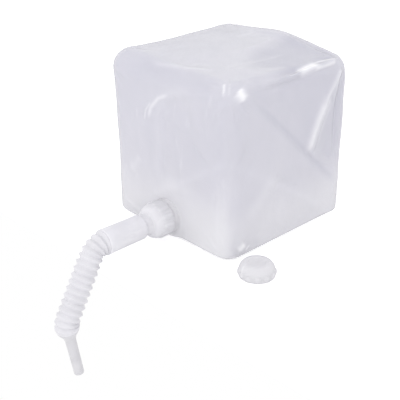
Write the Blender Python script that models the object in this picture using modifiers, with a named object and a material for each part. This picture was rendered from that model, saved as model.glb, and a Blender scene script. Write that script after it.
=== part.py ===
"""Collapsible water carrier: a folding cube bag with a screwed-on, bendable pouring spout.

Metres, +Z up. The origin is the middle of the bag's base. The spout leaves the face at -Y,
bends down past the edge of the base, and the closing cap lies beside the bag.
"""

import math

import bmesh
import bpy
from mathutils import Matrix, Vector

# Clearances
SEAT_GAP = 0.0003  # between pieces that touch or slide on each other
CUT_OVERRUN = 0.004  # how far a cutter runs past the face that it opens

# Bag: one thin film cube, whose middle walls fold
BAG_WIDTH = 0.240
BAG_HEIGHT = 0.250
BAG_WALL = 0.0008
BAG_SIDE_RADIUS = 0.026  # of the four upright edges
BAG_TOP_RADIUS = 0.024
BAG_BASE_RADIUS = 0.022
BAG_EDGE_STEPS = 5
BAG_TOP_DEPTH = 0.026  # of the top panel's turned-down rim
FOLD_CLEARANCE = 0.003  # from the pad round the neck up to the folding walls
PAD_REACH = 0.0015  # of the film drawn out flat, past the neck's flange
PAD_DEPTH = 0.0145
PAD_STEPS = 32

# Neck fitting, welded in the front wall low down
NECK_HEIGHT = 0.036  # of the neck's axis over the base
NECK_RADIUS = 0.0208
NECK_WALL = 0.0036
NECK_LENGTH = 0.0230  # from the bag's face to the neck's mouth
NECK_LIP = 0.0008
NECK_FLANGE_REACH = 0.0067
NECK_FLANGE_THICKNESS = 0.0018
SPIGOT_WALL = 0.0018  # of the part that passes through the bag's wall
SPIGOT_DEPTH = 0.0050  # behind the wall's inner face
NECK_STEPS = 40

# Packing ring between the neck's mouth and the sleeve's flange
GASKET_THICKNESS = 0.0020
GASKET_BAND = 0.0080  # the ring's width

# Screw caps: the spout's collar and the closing cap share the thread and the grip
THREAD_ROOM = 0.0014  # between the neck and a cap's bore, where the threads are
CAP_WALL = 0.0026
GRIP_COUNT = 12
GRIP_RADIUS = 0.0048
GRIP_PROUD = 0.0012
GRIP_SIDES = 16
GRIP_EDGE_STEPS = 2
GRIP_EDGE = 0.0014  # rounding at a grip's end
GRIP_LIFT = 0.0011  # from the rim to a grip's end
CAP_RIM_EDGE = 0.0007
CAP_STEPS = 48

# Spout collar
COLLAR_START = 0.0100  # the rim's distance from the bag's face
COLLAR_SKIRT_LENGTH = 0.0150
COLLAR_DOME_LENGTH = 0.0130
COLLAR_SNOUT_RADIUS = 0.0175
COLLAR_SNOUT_END_RADIUS = 0.0160
COLLAR_SNOUT_LENGTH = 0.0065
COLLAR_NOSE_LENGTH = 0.0030
COLLAR_NOSE_WALL = 0.0024
COLLAR_DOME_WALL = 0.0030
COLLAR_CEILING_RADIUS = 0.0160  # inner edge of the ledge that presses on the flange
DOME_STEPS = 6

# Sleeve: flange under the collar, stem through it, barrel in front
FLANGE_THICKNESS = 0.0020
STEM_RADIUS = 0.0106
STEM_BORE_RADIUS = 0.0084
SLEEVE_START = 0.0505  # the shoulder's distance from the bag's face
SLEEVE_SHOULDER_LENGTH = 0.0080
SLEEVE_START_RADIUS = 0.0174
SLEEVE_END_RADIUS = 0.0185
SLEEVE_LENGTH = 0.0658
SLEEVE_FLOOR = 0.0024  # wall where the stem opens into the barrel
SLEEVE_STEPS = 40
SHOULDER_STEPS = 5

# Bellows: one ribbed tube in three stretches, bent twice in the plane x = 0
CUFF_RADIUS = 0.0164
CUFF_INSERTION = 0.0340  # how far the plain cuff runs back inside the sleeve
CUFF_SHOWN = 0.0030  # plain stretch between the sleeve and the first rib
RIB_CREST_RADIUS = 0.0172
RIB_ROOT_RADIUS = 0.0142
BELLOWS_BORE_RADIUS = 0.0118
UPPER_RIBS = 5
MIDDLE_RIBS = 4
LOWER_RIBS = 5
FIRST_BEND_RADIUS = 0.0240
FIRST_BEND_DEGREES = 60.5
MIDDLE_RUN = 0.0894  # straight stretch between the bends
SECOND_BEND_RADIUS = 0.0220
SECOND_BEND_DEGREES = 39.0
END_RUN = 0.0108
NEUTRAL_SHARE = 0.6  # of the crest radius: where the ribs keep their pitch in a bend
CUFF_POINTS = 3
BELLOWS_BEVEL_RESOLUTION = 2
BORE_STEP = 0.0050

# Tip: a thin pouring tube with a flared root
TIP_LENGTH = 0.0705
TIP_RADIUS = 0.0076
TIP_END_RADIUS = 0.0072
TIP_WALL = 0.0013
TIP_ROOT_RADIUS = 0.0154
TIP_ROOT_RIM = 0.0015
TIP_FLARE_LENGTH = 0.0090
TIP_SPIGOT_LENGTH = 0.0060
TIP_LIP = 0.0005
TIP_STEPS = 32
FLARE_STEPS = 6

# Closing cap, taken off and standing on its rim beside the bag
CLOSING_CAP_ASIDE = 0.0377  # its axis from the bag's side
CLOSING_CAP_BEHIND = 0.0159  # its axis from the plane of the bag's front
CLOSING_CAP_HEIGHT = 0.0200
CLOSING_CAP_SKIRT = 0.0070
CLOSING_CAP_TOP_RADIUS = 0.0150
CLOSING_CAP_WALL = 0.0018
CLOSING_CAP_LEDGE = 0.0120  # height of the ledge that presses the liner on the neck
CLOSING_CAP_LEDGE_RADIUS = 0.0190
CLOSING_CAP_INNER_TOP_RADIUS = 0.0120
CAP_DOME_STEPS = 6
LINER_THICKNESS = 0.0012
LINER_ROOM = 0.0010

ROUND_PROFILE = 0.5  # a bevel's shape, a quarter circle
CREST_SHARE = 0.5  # of a rib's pitch, from the root before it

# Sizes worked out from the ones above
HALF_TURN = math.pi
QUARTER_TURN = math.pi / 2
FACE_Y = -BAG_WIDTH / 2
NECK_BORE_RADIUS = NECK_RADIUS - NECK_WALL
NECK_FLANGE_RADIUS = NECK_RADIUS + NECK_FLANGE_REACH
SPIGOT_RADIUS = NECK_BORE_RADIUS + SPIGOT_WALL
PAD_RADIUS = NECK_FLANGE_RADIUS + PAD_REACH
FOLD_LOW = NECK_HEIGHT + PAD_RADIUS + FOLD_CLEARANCE
FOLD_HIGH = BAG_HEIGHT - BAG_TOP_DEPTH
GASKET_RADIUS = NECK_RADIUS - SEAT_GAP
GASKET_BORE_RADIUS = GASKET_RADIUS - GASKET_BAND
FLANGE_RADIUS = NECK_RADIUS - SEAT_GAP
CAP_BORE_RADIUS = NECK_RADIUS + THREAD_ROOM
CAP_SKIRT_RADIUS = CAP_BORE_RADIUS + CAP_WALL
LINER_RADIUS = CAP_BORE_RADIUS - LINER_ROOM
GASKET_START = NECK_LENGTH + SEAT_GAP
FLANGE_START = GASKET_START + GASKET_THICKNESS + SEAT_GAP
CEILING_START = FLANGE_START + FLANGE_THICKNESS + SEAT_GAP
COLLAR_SHOULDER = COLLAR_START + COLLAR_SKIRT_LENGTH
SNOUT_START = COLLAR_SHOULDER + COLLAR_DOME_LENGTH
SNOUT_END = SNOUT_START + COLLAR_SNOUT_LENGTH
COLLAR_END = SNOUT_END + COLLAR_NOSE_LENGTH
SLEEVE_END = SLEEVE_START + SLEEVE_LENGTH
BEND_START = SLEEVE_END + SEAT_GAP
FIRST_BEND = math.radians(FIRST_BEND_DEGREES)
SECOND_BEND = math.radians(SECOND_BEND_DEGREES)
GRIP_AXIS_RADIUS = CAP_SKIRT_RADIUS + GRIP_PROUD - GRIP_RADIUS

FILM = ("bag film", (0.86, 0.88, 0.90, 1.0), 0.28)
SPOUT_WHITE = ("spout white", (0.90, 0.90, 0.92, 1.0), 0.38)
TIP_NATURAL = ("tip natural", (0.84, 0.85, 0.87, 1.0), 0.35)
CAP_NATURAL = ("cap natural", (0.87, 0.87, 0.89, 1.0), 0.40)
SEAL_GREY = ("seal grey", (0.62, 0.63, 0.64, 1.0), 0.80)


def clear_scene():
    """Removes what the file started with."""
    for obj in list(bpy.data.objects):
        bpy.data.objects.remove(obj, do_unlink=True)


def new_collection(name):
    """A collection in the scene."""
    collection = bpy.data.collections.new(name)
    bpy.context.scene.collection.children.link(collection)
    return collection


def material(finish):
    """The plastic of one piece: its name, colour and roughness."""
    name, colour, roughness = finish
    made = bpy.data.materials.get(name) or bpy.data.materials.new(name)
    made.use_nodes = True
    shader = made.node_tree.nodes["Principled BSDF"]
    shader.inputs["Base Color"].default_value = colour
    shader.inputs["Roughness"].default_value = roughness
    shader.inputs["Metallic"].default_value = 0.0
    return made


def add_part(name, mesh, finish, parent=None):
    """Puts a mesh in the model as one named piece."""
    obj = bpy.data.objects.new(name, mesh)
    PARTS.objects.link(obj)
    mesh.materials.append(material(finish))
    obj.parent = parent
    return obj


def add_cutter(name, mesh, parent=None):
    """Puts a mesh beside the model as a cutter, which isn't part of it."""
    obj = bpy.data.objects.new(name, mesh)
    CUTTERS.objects.link(obj)
    obj.hide_render = True
    obj.display_type = "WIRE"
    obj.parent = parent
    return obj


def add_frame(name, location, tilt, parent=None):
    """An empty that carries pieces: its Z axis leans from +Z towards -Y by tilt."""
    frame = bpy.data.objects.new(name, None)
    PARTS.objects.link(frame)
    frame.location = location
    frame.rotation_euler = (tilt, 0.0, 0.0)
    frame.parent = parent
    return frame


def combine(obj, other, operation):
    """Cuts a piece with another solid, or joins the two."""
    modifier = obj.modifiers.new(operation.title(), "BOOLEAN")
    modifier.operation = operation
    modifier.solver = "EXACT"
    modifier.object = other


def turned_mesh(name, profile, closed=True):
    """A profile of (radius, height) points, for the Screw modifier to turn about Z."""
    mesh = bpy.data.meshes.new(name)
    count = len(profile)
    edges = [(i, i + 1) for i in range(count - 1)]
    if closed:
        edges.append((count - 1, 0))
    mesh.from_pydata([(radius, 0.0, height) for radius, height in profile], edges, [])
    return mesh


def turn(obj, steps, closed=True):
    """Turns a piece's profile a full turn."""
    screw = obj.modifiers.new("Turn", "SCREW")
    screw.steps = steps
    screw.render_steps = steps
    screw.use_merge_vertices = not closed
    screw.merge_threshold = 0.00001
    screw.use_smooth_shade = True


def arc(centre, radius, start, end, steps):
    """Points of an arc in the (radius, height) plane, from one angle to another."""
    points = []
    for i in range(steps + 1):
        angle = start + (end - start) * i / steps
        points.append((centre[0] + radius[0] * math.cos(angle), centre[1] + radius[1] * math.sin(angle)))
    return points


def bag_band(name, low, high):
    """The bag's skin between two heights, an open surface with its wall put on inwards."""
    shape = bmesh.new()
    bmesh.ops.create_cube(shape, size=1.0)
    bmesh.ops.scale(shape, vec=(BAG_WIDTH, BAG_WIDTH, BAG_HEIGHT), verts=shape.verts)
    bmesh.ops.translate(shape, vec=(0.0, 0.0, BAG_HEIGHT / 2), verts=shape.verts)
    upright = [e for e in shape.edges if abs((e.verts[0].co - e.verts[1].co).z) > BAG_HEIGHT / 2]
    round_edges(shape, upright, BAG_SIDE_RADIUS, BAG_EDGE_STEPS)
    for height, radius in ((BAG_HEIGHT, BAG_TOP_RADIUS), (0.0, BAG_BASE_RADIUS)):
        rim = [e for e in shape.edges if all(abs(v.co.z - height) < BAG_WALL for v in e.verts)]
        round_edges(shape, rim, radius, BAG_EDGE_STEPS)
    for height, direction in ((low, -1.0), (high, 1.0)):
        if 0.0 < height < BAG_HEIGHT:
            bmesh.ops.bisect_plane(
                shape,
                geom=shape.verts[:] + shape.edges[:] + shape.faces[:],
                plane_co=(0.0, 0.0, height),
                plane_no=(0.0, 0.0, direction),
                clear_outer=True,
            )
    mesh = bpy.data.meshes.new(name)
    shape.to_mesh(mesh)
    shape.free()
    obj = add_part(name, mesh, FILM)
    wall = obj.modifiers.new("Wall", "SOLIDIFY")
    wall.thickness = BAG_WALL
    wall.offset = -1.0
    wall.use_even_offset = True
    return obj


def round_edges(shape, edges, radius, steps):
    """Rounds edges, each over a quarter circle in this many steps."""
    bmesh.ops.bevel(
        shape, geom=edges, offset=radius, offset_type="OFFSET", segments=steps, profile=ROUND_PROFILE, affect="EDGES"
    )


def build_bag(neck):
    """The bag: a tray below, the folding walls and the top, which are one film on the real one."""
    half_gap = SEAT_GAP / 2
    lower = bag_band("bag_lower_shell", 0.0, FOLD_LOW - half_gap)
    bag_band("bag_folding_walls", FOLD_LOW + half_gap, FOLD_HIGH - half_gap)
    bag_band("bag_top_panel", FOLD_HIGH + half_gap, BAG_HEIGHT)
    pad = plain_cylinder("neck_pad", PAD_RADIUS, -PAD_DEPTH, 0.0, PAD_STEPS)
    combine(lower, add_cutter("neck_pad", pad, neck), "UNION")
    hollow = plain_cylinder(
        "neck_pad_hollow", PAD_RADIUS - BAG_WALL, -PAD_DEPTH - CUT_OVERRUN, -BAG_WALL, PAD_STEPS
    )
    combine(lower, add_cutter("neck_pad_hollow", hollow, neck), "DIFFERENCE")
    radius = SPIGOT_RADIUS + SEAT_GAP
    depth = BAG_WALL + CUT_OVERRUN
    hole = plain_cylinder("neck_hole", radius, -depth, CUT_OVERRUN, NECK_STEPS)
    combine(lower, add_cutter("neck_hole", hole, neck), "DIFFERENCE")


def plain_cylinder(name, radius, low, high, sides):
    """A cylinder about Z between two heights."""
    shape = bmesh.new()
    bmesh.ops.create_cone(
        shape, cap_ends=True, segments=sides, radius1=radius, radius2=radius, depth=high - low
    )
    bmesh.ops.translate(shape, vec=(0.0, 0.0, (low + high) / 2), verts=shape.verts)
    mesh = bpy.data.meshes.new(name)
    shape.to_mesh(mesh)
    shape.free()
    return mesh


def build_neck(neck):
    """The neck fitting: a spigot through the wall, a flange on it and the neck that takes the caps."""
    root = SEAT_GAP
    flange_top = SEAT_GAP + NECK_FLANGE_THICKNESS
    inner_end = -BAG_WALL - SPIGOT_DEPTH
    profile = [
        (NECK_BORE_RADIUS + NECK_LIP, NECK_LENGTH),
        (NECK_RADIUS - NECK_LIP, NECK_LENGTH),
        (NECK_RADIUS, NECK_LENGTH - NECK_LIP),
        (NECK_RADIUS, flange_top),
        (NECK_FLANGE_RADIUS - NECK_LIP, flange_top),
        (NECK_FLANGE_RADIUS, flange_top - NECK_LIP),
        (NECK_FLANGE_RADIUS, root),
        (SPIGOT_RADIUS, root),
        (SPIGOT_RADIUS, inner_end),
        (NECK_BORE_RADIUS, inner_end),
        (NECK_BORE_RADIUS, NECK_LENGTH - NECK_LIP),
    ]
    turn(add_part("neck_fitting", turned_mesh("neck_fitting", profile), SPOUT_WHITE, neck), NECK_STEPS)


def build_gasket(neck):
    """The packing ring that the sleeve's flange presses on the neck's mouth."""
    low, high = GASKET_START, GASKET_START + GASKET_THICKNESS
    profile = [(GASKET_RADIUS, high), (GASKET_RADIUS, low), (GASKET_BORE_RADIUS, low), (GASKET_BORE_RADIUS, high)]
    turn(add_part("neck_gasket", turned_mesh("neck_gasket", profile), SEAL_GREY, neck), NECK_STEPS)


def grips(name, parent, start, length):
    """The finger grips of a cap: rounded ribs along its skirt, joined into one cutter."""
    shape = bmesh.new()
    bmesh.ops.create_cone(
        shape, cap_ends=True, segments=GRIP_SIDES, radius1=GRIP_RADIUS, radius2=GRIP_RADIUS, depth=length
    )
    ends = [e for e in shape.edges if e.verts[0].co.z * e.verts[1].co.z > 0.0]
    round_edges(shape, ends, GRIP_EDGE, GRIP_EDGE_STEPS)
    bmesh.ops.translate(shape, vec=(GRIP_AXIS_RADIUS, 0.0, start + length / 2), verts=shape.verts)
    bmesh.ops.spin(
        shape,
        geom=shape.verts[:] + shape.edges[:] + shape.faces[:],
        cent=(0.0, 0.0, 0.0),
        axis=(0.0, 0.0, 1.0),
        angle=2 * HALF_TURN * (GRIP_COUNT - 1) / GRIP_COUNT,
        steps=GRIP_COUNT - 1,
        use_duplicate=True,
    )
    mesh = bpy.data.meshes.new(name)
    shape.to_mesh(mesh)
    shape.free()
    return add_cutter(name, mesh, parent)


def screw_cap(name, finish, parent, outside, inside, rim, skirt):
    """A cap: a turned outside with finger grips from its rim up its skirt, and a turned hollow cut out."""
    cap = add_part(name, turned_mesh(name, outside, closed=False), finish, parent)
    turn(cap, CAP_STEPS, closed=False)
    combine(cap, grips(name + "_grips", parent, rim + GRIP_LIFT, skirt), "UNION")
    hollow = add_cutter(name + "_hollow", turned_mesh(name + "_hollow", inside, closed=False), parent)
    turn(hollow, CAP_STEPS, closed=False)
    combine(cap, hollow, "DIFFERENCE")
    return cap


def build_collar(neck):
    """The spout's collar: a gripped skirt, a dome that draws in, and a snout round the stem."""
    dome_drop = CAP_SKIRT_RADIUS - COLLAR_SNOUT_RADIUS
    dome = arc(
        (COLLAR_SNOUT_RADIUS, COLLAR_SHOULDER), (dome_drop, COLLAR_DOME_LENGTH), QUARTER_TURN, 0.0, DOME_STEPS
    )
    nose_drop = COLLAR_NOSE_WALL
    nose_radius = COLLAR_SNOUT_END_RADIUS - nose_drop
    nose = arc((nose_radius, SNOUT_END), (nose_drop, COLLAR_NOSE_LENGTH), QUARTER_TURN, 0.0, DOME_STEPS)
    outside = [(0.0, COLLAR_END)] + nose + dome
    outside += [
        (CAP_SKIRT_RADIUS, COLLAR_START + CAP_RIM_EDGE),
        (CAP_SKIRT_RADIUS - CAP_RIM_EDGE, COLLAR_START),
        (0.0, COLLAR_START),
    ]
    bore = STEM_RADIUS + SEAT_GAP
    inside = [
        (0.0, COLLAR_END + CUT_OVERRUN),
        (bore, COLLAR_END + CUT_OVERRUN),
        (bore, SNOUT_END),
        (COLLAR_SNOUT_END_RADIUS - COLLAR_DOME_WALL, SNOUT_END - COLLAR_NOSE_WALL),
        (COLLAR_SNOUT_RADIUS - COLLAR_DOME_WALL, SNOUT_START),
        (COLLAR_CEILING_RADIUS, CEILING_START),
        (CAP_BORE_RADIUS, CEILING_START),
        (CAP_BORE_RADIUS, COLLAR_START - CUT_OVERRUN),
        (0.0, COLLAR_START - CUT_OVERRUN),
    ]
    screw_cap("spout_collar", SPOUT_WHITE, neck, outside, inside, COLLAR_START, COLLAR_SKIRT_LENGTH)


def build_sleeve(neck):
    """The sleeve: the flange under the collar, the stem through it and the barrel in front."""
    shoulder_rise = SLEEVE_START_RADIUS - STEM_RADIUS
    shoulder_top = SLEEVE_START + SLEEVE_SHOULDER_LENGTH
    shoulder = arc(
        (STEM_RADIUS, shoulder_top), (shoulder_rise, SLEEVE_SHOULDER_LENGTH), 0.0, -QUARTER_TURN, SHOULDER_STEPS
    )
    barrel_floor = SLEEVE_START + SLEEVE_FLOOR
    inner_rise = CUFF_RADIUS + SEAT_GAP - STEM_BORE_RADIUS
    inner_shoulder = arc(
        (STEM_BORE_RADIUS, shoulder_top + SLEEVE_FLOOR),
        (inner_rise, shoulder_top + SLEEVE_FLOOR - barrel_floor),
        -QUARTER_TURN,
        0.0,
        SHOULDER_STEPS,
    )
    flange_end = FLANGE_START + FLANGE_THICKNESS
    profile = [(CUFF_RADIUS + SEAT_GAP, SLEEVE_END), (SLEEVE_END_RADIUS, SLEEVE_END)]
    profile += shoulder
    profile += [
        (STEM_RADIUS, flange_end),
        (FLANGE_RADIUS, flange_end),
        (FLANGE_RADIUS, FLANGE_START),
        (STEM_BORE_RADIUS, FLANGE_START),
    ]
    profile += inner_shoulder
    sleeve = add_part("spout_sleeve", turned_mesh("spout_sleeve", profile), SPOUT_WHITE, neck)
    turn(sleeve, SLEEVE_STEPS)


def spout_point(distance):
    """The place and heading of the spout's centreline, at a distance past the sleeve's end.

    The place is (run from the bag's face, drop under the neck's axis); the heading is 0 level
    and a quarter turn straight down.
    """
    stretches = (
        (FIRST_BEND_RADIUS * FIRST_BEND, FIRST_BEND),
        (MIDDLE_RUN, 0.0),
        (SECOND_BEND_RADIUS * SECOND_BEND, SECOND_BEND),
    )
    run, drop, heading, left = BEND_START, 0.0, 0.0, distance
    for length, bend in stretches:
        step = min(max(left, 0.0), length)
        if bend:
            radius, turned = length / bend, bend * step / length
            run += radius * (math.sin(heading + turned) - math.sin(heading))
            drop += radius * (math.cos(heading) - math.cos(heading + turned))
            heading += turned
        else:
            run += step * math.cos(heading)
            drop += step * math.sin(heading)
        left -= step if left > 0.0 else 0.0
    return run + left * math.cos(heading), drop + left * math.sin(heading), heading


def bellows_length():
    """The centreline's length from the sleeve's end to the bellows' end."""
    return FIRST_BEND_RADIUS * FIRST_BEND + MIDDLE_RUN + SECOND_BEND_RADIUS * SECOND_BEND + END_RUN


def centre_distance(neutral):
    """The centreline distance at which the neutral line, outside the centre in a bend, is this long."""
    offset = NEUTRAL_SHARE * RIB_CREST_RADIUS
    stretches = (
        (FIRST_BEND_RADIUS * FIRST_BEND, (FIRST_BEND_RADIUS + offset) * FIRST_BEND),
        (MIDDLE_RUN, MIDDLE_RUN),
        (SECOND_BEND_RADIUS * SECOND_BEND, (SECOND_BEND_RADIUS + offset) * SECOND_BEND),
    )
    centre = 0.0
    for length, neutral_length in stretches:
        step = min(neutral, neutral_length)
        centre += length * step / neutral_length
        neutral -= step
    return centre + neutral


def neutral_length():
    """The neutral line's length from the sleeve's end to the bellows' end."""
    return bellows_length() + NEUTRAL_SHARE * RIB_CREST_RADIUS * (FIRST_BEND + SECOND_BEND)


def rib_distance(count):
    """The centreline distance at which this many ribs lie behind; halves are the crests."""
    pitch = (neutral_length() - CUFF_SHOWN) / (UPPER_RIBS + MIDDLE_RIBS + LOWER_RIBS)
    return centre_distance(CUFF_SHOWN + pitch * count)


def place_in_row(distance):
    """The spout's centreline point in the model's frame."""
    run, drop, _ = spout_point(distance)
    return Vector((0.0, FACE_Y - run, NECK_HEIGHT - drop))


def tube_mesh(name, stations, resolution):
    """A closed tube through (distance, radius) stations along the spout, as a welded mesh."""
    curve = bpy.data.curves.new(name, "CURVE")
    curve.dimensions = "3D"
    curve.twist_mode = "MINIMUM"
    curve.bevel_depth = RIB_CREST_RADIUS
    curve.bevel_resolution = resolution
    curve.use_fill_caps = True
    spline = curve.splines.new("POLY")
    spline.points.add(len(stations) - 1)
    for point, (distance, radius) in zip(spline.points, stations):
        point.co = (*place_in_row(distance), 1.0)
        point.radius = radius / RIB_CREST_RADIUS
    guide = bpy.data.objects.new(name + "_guide", curve)
    PARTS.objects.link(guide)
    graph = bpy.context.evaluated_depsgraph_get()
    mesh = bpy.data.meshes.new_from_object(guide.evaluated_get(graph))
    bpy.data.objects.remove(guide, do_unlink=True)
    shape = bmesh.new()
    shape.from_mesh(mesh)
    bmesh.ops.remove_doubles(shape, verts=shape.verts, dist=0.00001)
    bmesh.ops.recalc_face_normals(shape, faces=shape.faces)
    shape.to_mesh(mesh)
    shape.free()
    return mesh


def evenly(start, end, count):
    """Values from start to end, in this many equal steps."""
    return [start + (end - start) * i / count for i in range(count + 1)]


def bellows_stretch(name, before, first_rib, last_rib, start, end):
    """A stretch of the ribbed tube: the stations before its first rib, then a crest and a root a rib."""
    stations = list(before)
    for rib in range(first_rib, last_rib):
        stations.append((rib_distance(rib + CREST_SHARE), RIB_CREST_RADIUS))
        stations.append((rib_distance(rib + 1), RIB_ROOT_RADIUS))
    stations[-1] = (end, RIB_ROOT_RADIUS)
    stretch = add_part(name, tube_mesh(name, stations, BELLOWS_BEVEL_RESOLUTION), SPOUT_WHITE)
    length = end - start + 2 * CUT_OVERRUN
    steps = max(2, round(length / BORE_STEP))
    bore = [(d, BELLOWS_BORE_RADIUS) for d in evenly(start - CUT_OVERRUN, end + CUT_OVERRUN, steps)]
    cutter = add_cutter(name + "_bore", tube_mesh(name + "_bore", bore, BELLOWS_BEVEL_RESOLUTION))
    combine(stretch, cutter, "DIFFERENCE")
    return stretch


def build_bellows():
    """The bellows in three stretches, which meet at roots on its straight run."""
    half_gap = SEAT_GAP / 2
    cuff_start = -CUFF_INSERTION
    upper_end = UPPER_RIBS
    middle_end = UPPER_RIBS + MIDDLE_RIBS
    lower_end = UPPER_RIBS + MIDDLE_RIBS + LOWER_RIBS
    cuff = [(d, CUFF_RADIUS) for d in evenly(cuff_start, 0.0, CUFF_POINTS)]
    cuff.append((rib_distance(0), RIB_ROOT_RADIUS))
    end = rib_distance(upper_end) - half_gap
    bellows_stretch("bellows_upper", cuff, 0, upper_end, cuff_start, end)
    start = rib_distance(upper_end) + half_gap
    end = rib_distance(middle_end) - half_gap
    bellows_stretch("bellows_middle", [(start, RIB_ROOT_RADIUS)], upper_end, middle_end, start, end)
    start = rib_distance(middle_end) + half_gap
    end = bellows_length()
    bellows_stretch("bellows_lower", [(start, RIB_ROOT_RADIUS)], middle_end, lower_end, start, end)


def build_tip():
    """The pouring tip: a spigot in the bellows' bore, a flared root and a thin tube with an open end."""
    run, drop, heading = spout_point(bellows_length() + SEAT_GAP)
    frame = add_frame("tip_axis", (0.0, FACE_Y - run, NECK_HEIGHT - drop), QUARTER_TURN + heading)
    flare_rise = TIP_ROOT_RADIUS - TIP_RADIUS
    flare = arc(
        (TIP_ROOT_RADIUS, TIP_ROOT_RIM + TIP_FLARE_LENGTH),
        (flare_rise, TIP_FLARE_LENGTH),
        HALF_TURN,
        HALF_TURN + QUARTER_TURN,
        FLARE_STEPS,
    )
    bore = TIP_RADIUS - TIP_WALL
    spigot_radius = BELLOWS_BORE_RADIUS * math.cos(HALF_TURN / (2 * BELLOWS_BEVEL_RESOLUTION + 4)) - SEAT_GAP
    profile = [
        (TIP_END_RADIUS - TIP_WALL, TIP_LENGTH),
        (TIP_END_RADIUS - TIP_LIP, TIP_LENGTH),
        (TIP_END_RADIUS, TIP_LENGTH - TIP_LIP),
    ]
    profile += flare
    profile += [
        (TIP_ROOT_RADIUS, 0.0),
        (spigot_radius, 0.0),
        (spigot_radius, -TIP_SPIGOT_LENGTH),
        (spigot_radius - TIP_WALL, -TIP_SPIGOT_LENGTH),
        (spigot_radius - TIP_WALL, 0.0),
        (bore, TIP_FLARE_LENGTH),
    ]
    turn(add_part("spout_tip", turned_mesh("spout_tip", profile), TIP_NATURAL, frame), TIP_STEPS)


def build_closing_cap():
    """The closing cap, standing on its rim beside the bag, and the liner against the ledge inside."""
    place = (BAG_WIDTH / 2 + CLOSING_CAP_ASIDE, FACE_Y + CLOSING_CAP_BEHIND, 0.0)
    frame = add_frame("cap_axis", place, 0.0)
    rise = CLOSING_CAP_HEIGHT - CLOSING_CAP_SKIRT
    spread = CAP_SKIRT_RADIUS - CLOSING_CAP_TOP_RADIUS
    dome = arc((CLOSING_CAP_TOP_RADIUS, CLOSING_CAP_SKIRT), (spread, rise), QUARTER_TURN, 0.0, CAP_DOME_STEPS)
    outside = [(0.0, CLOSING_CAP_HEIGHT)]
    outside += dome
    outside += [
        (CAP_SKIRT_RADIUS, CAP_RIM_EDGE),
        (CAP_SKIRT_RADIUS - CAP_RIM_EDGE, 0.0),
        (0.0, 0.0),
    ]
    inner_top = CLOSING_CAP_HEIGHT - CLOSING_CAP_WALL
    inner_spread = CLOSING_CAP_LEDGE_RADIUS - CLOSING_CAP_INNER_TOP_RADIUS
    inner_dome = arc(
        (CLOSING_CAP_INNER_TOP_RADIUS, CLOSING_CAP_LEDGE),
        (inner_spread, inner_top - CLOSING_CAP_LEDGE),
        QUARTER_TURN,
        0.0,
        CAP_DOME_STEPS,
    )
    inside = [(0.0, inner_top)]
    inside += inner_dome
    inside += [
        (CAP_BORE_RADIUS, CLOSING_CAP_LEDGE),
        (CAP_BORE_RADIUS, -CUT_OVERRUN),
        (0.0, -CUT_OVERRUN),
    ]
    screw_cap("closing_cap", CAP_NATURAL, frame, outside, inside, 0.0, CLOSING_CAP_SKIRT)
    top = CLOSING_CAP_LEDGE - SEAT_GAP
    liner = plain_cylinder("closing_cap_liner", LINER_RADIUS, top - LINER_THICKNESS, top, NECK_STEPS)
    add_part("closing_cap_liner", liner, SEAL_GREY, frame)


def main():
    """Builds every piece."""
    neck = add_frame("neck_axis", (0.0, FACE_Y, NECK_HEIGHT), QUARTER_TURN)
    build_bag(neck)
    build_neck(neck)
    build_gasket(neck)
    build_collar(neck)
    build_sleeve(neck)
    build_bellows()
    build_tip()
    build_closing_cap()


clear_scene()
PARTS = new_collection("collapsible_water_carrier")
CUTTERS = new_collection("cutters")
main()
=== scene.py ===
"""The looks of a collapsible water carrier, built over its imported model.

A milky film bag with a neck welded low in one face, a screwed-on spout with a ribbed bellows and a
thin tip, and the closing cap that stands beside the bag. Metres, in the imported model's frame: the
bag's base is centred on the origin and the spout leaves the face at -Y.
"""

from __future__ import annotations

import logging
import math
from dataclasses import dataclass, field
from enum import Enum
from functools import partial
from typing import Any

import bmesh
import bpy
import numpy as np
from mathutils import Matrix, Vector, noise


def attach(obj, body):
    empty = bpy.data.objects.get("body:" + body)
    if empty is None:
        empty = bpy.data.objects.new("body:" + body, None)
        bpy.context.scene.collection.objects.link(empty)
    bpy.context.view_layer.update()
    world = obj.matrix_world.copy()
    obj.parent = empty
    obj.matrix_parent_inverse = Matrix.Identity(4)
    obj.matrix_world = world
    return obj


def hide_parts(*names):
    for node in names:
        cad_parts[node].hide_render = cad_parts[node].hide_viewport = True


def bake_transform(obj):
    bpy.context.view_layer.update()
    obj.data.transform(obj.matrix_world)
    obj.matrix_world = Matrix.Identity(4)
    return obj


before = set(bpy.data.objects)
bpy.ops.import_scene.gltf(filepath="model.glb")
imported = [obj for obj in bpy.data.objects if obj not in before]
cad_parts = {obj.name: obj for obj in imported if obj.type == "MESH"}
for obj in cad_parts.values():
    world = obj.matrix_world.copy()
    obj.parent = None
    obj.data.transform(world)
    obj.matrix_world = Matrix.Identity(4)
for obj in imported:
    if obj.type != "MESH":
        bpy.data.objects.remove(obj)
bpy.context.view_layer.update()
LOG = logging.getLogger("water_carrier")
MM = 1000.0  # creases and dents are written in millimetres
Pair = tuple[float, float]
Point = tuple[float, float, float]
Ramp = tuple[float, float, float, float]  # a range, and the level at each of its ends
Piece = bpy.types.Object
Finish = bpy.types.Material


class Body(Enum):
    """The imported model's bodies."""

    BAG = "bag"
    BAG_TOP = "bag_top"
    PACKING = "packing"
    COLLAR = "collar"
    SLEEVE = "sleeve"
    SPOUT_MIDDLE = "spout_middle"
    SPOUT_LOWER = "spout_lower"
    TIP = "tip"
    LOOSE_CAP = "loose_cap"


class Slot(Enum):
    """The record's material slots."""

    FILM = "bag_film"
    SPOUT = "spout_white"
    TIP = "tip_natural"
    CAP = "cap_natural"
    SEAL = "seal_grey"


class Fold(Enum):
    """How the film lies across a crease."""

    RIDGE = "stands out along the line"
    VALLEY = "sinks in along the line"
    STEP = "lies lower past the line"
    FACET = "tilts inwards past the line"


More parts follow.
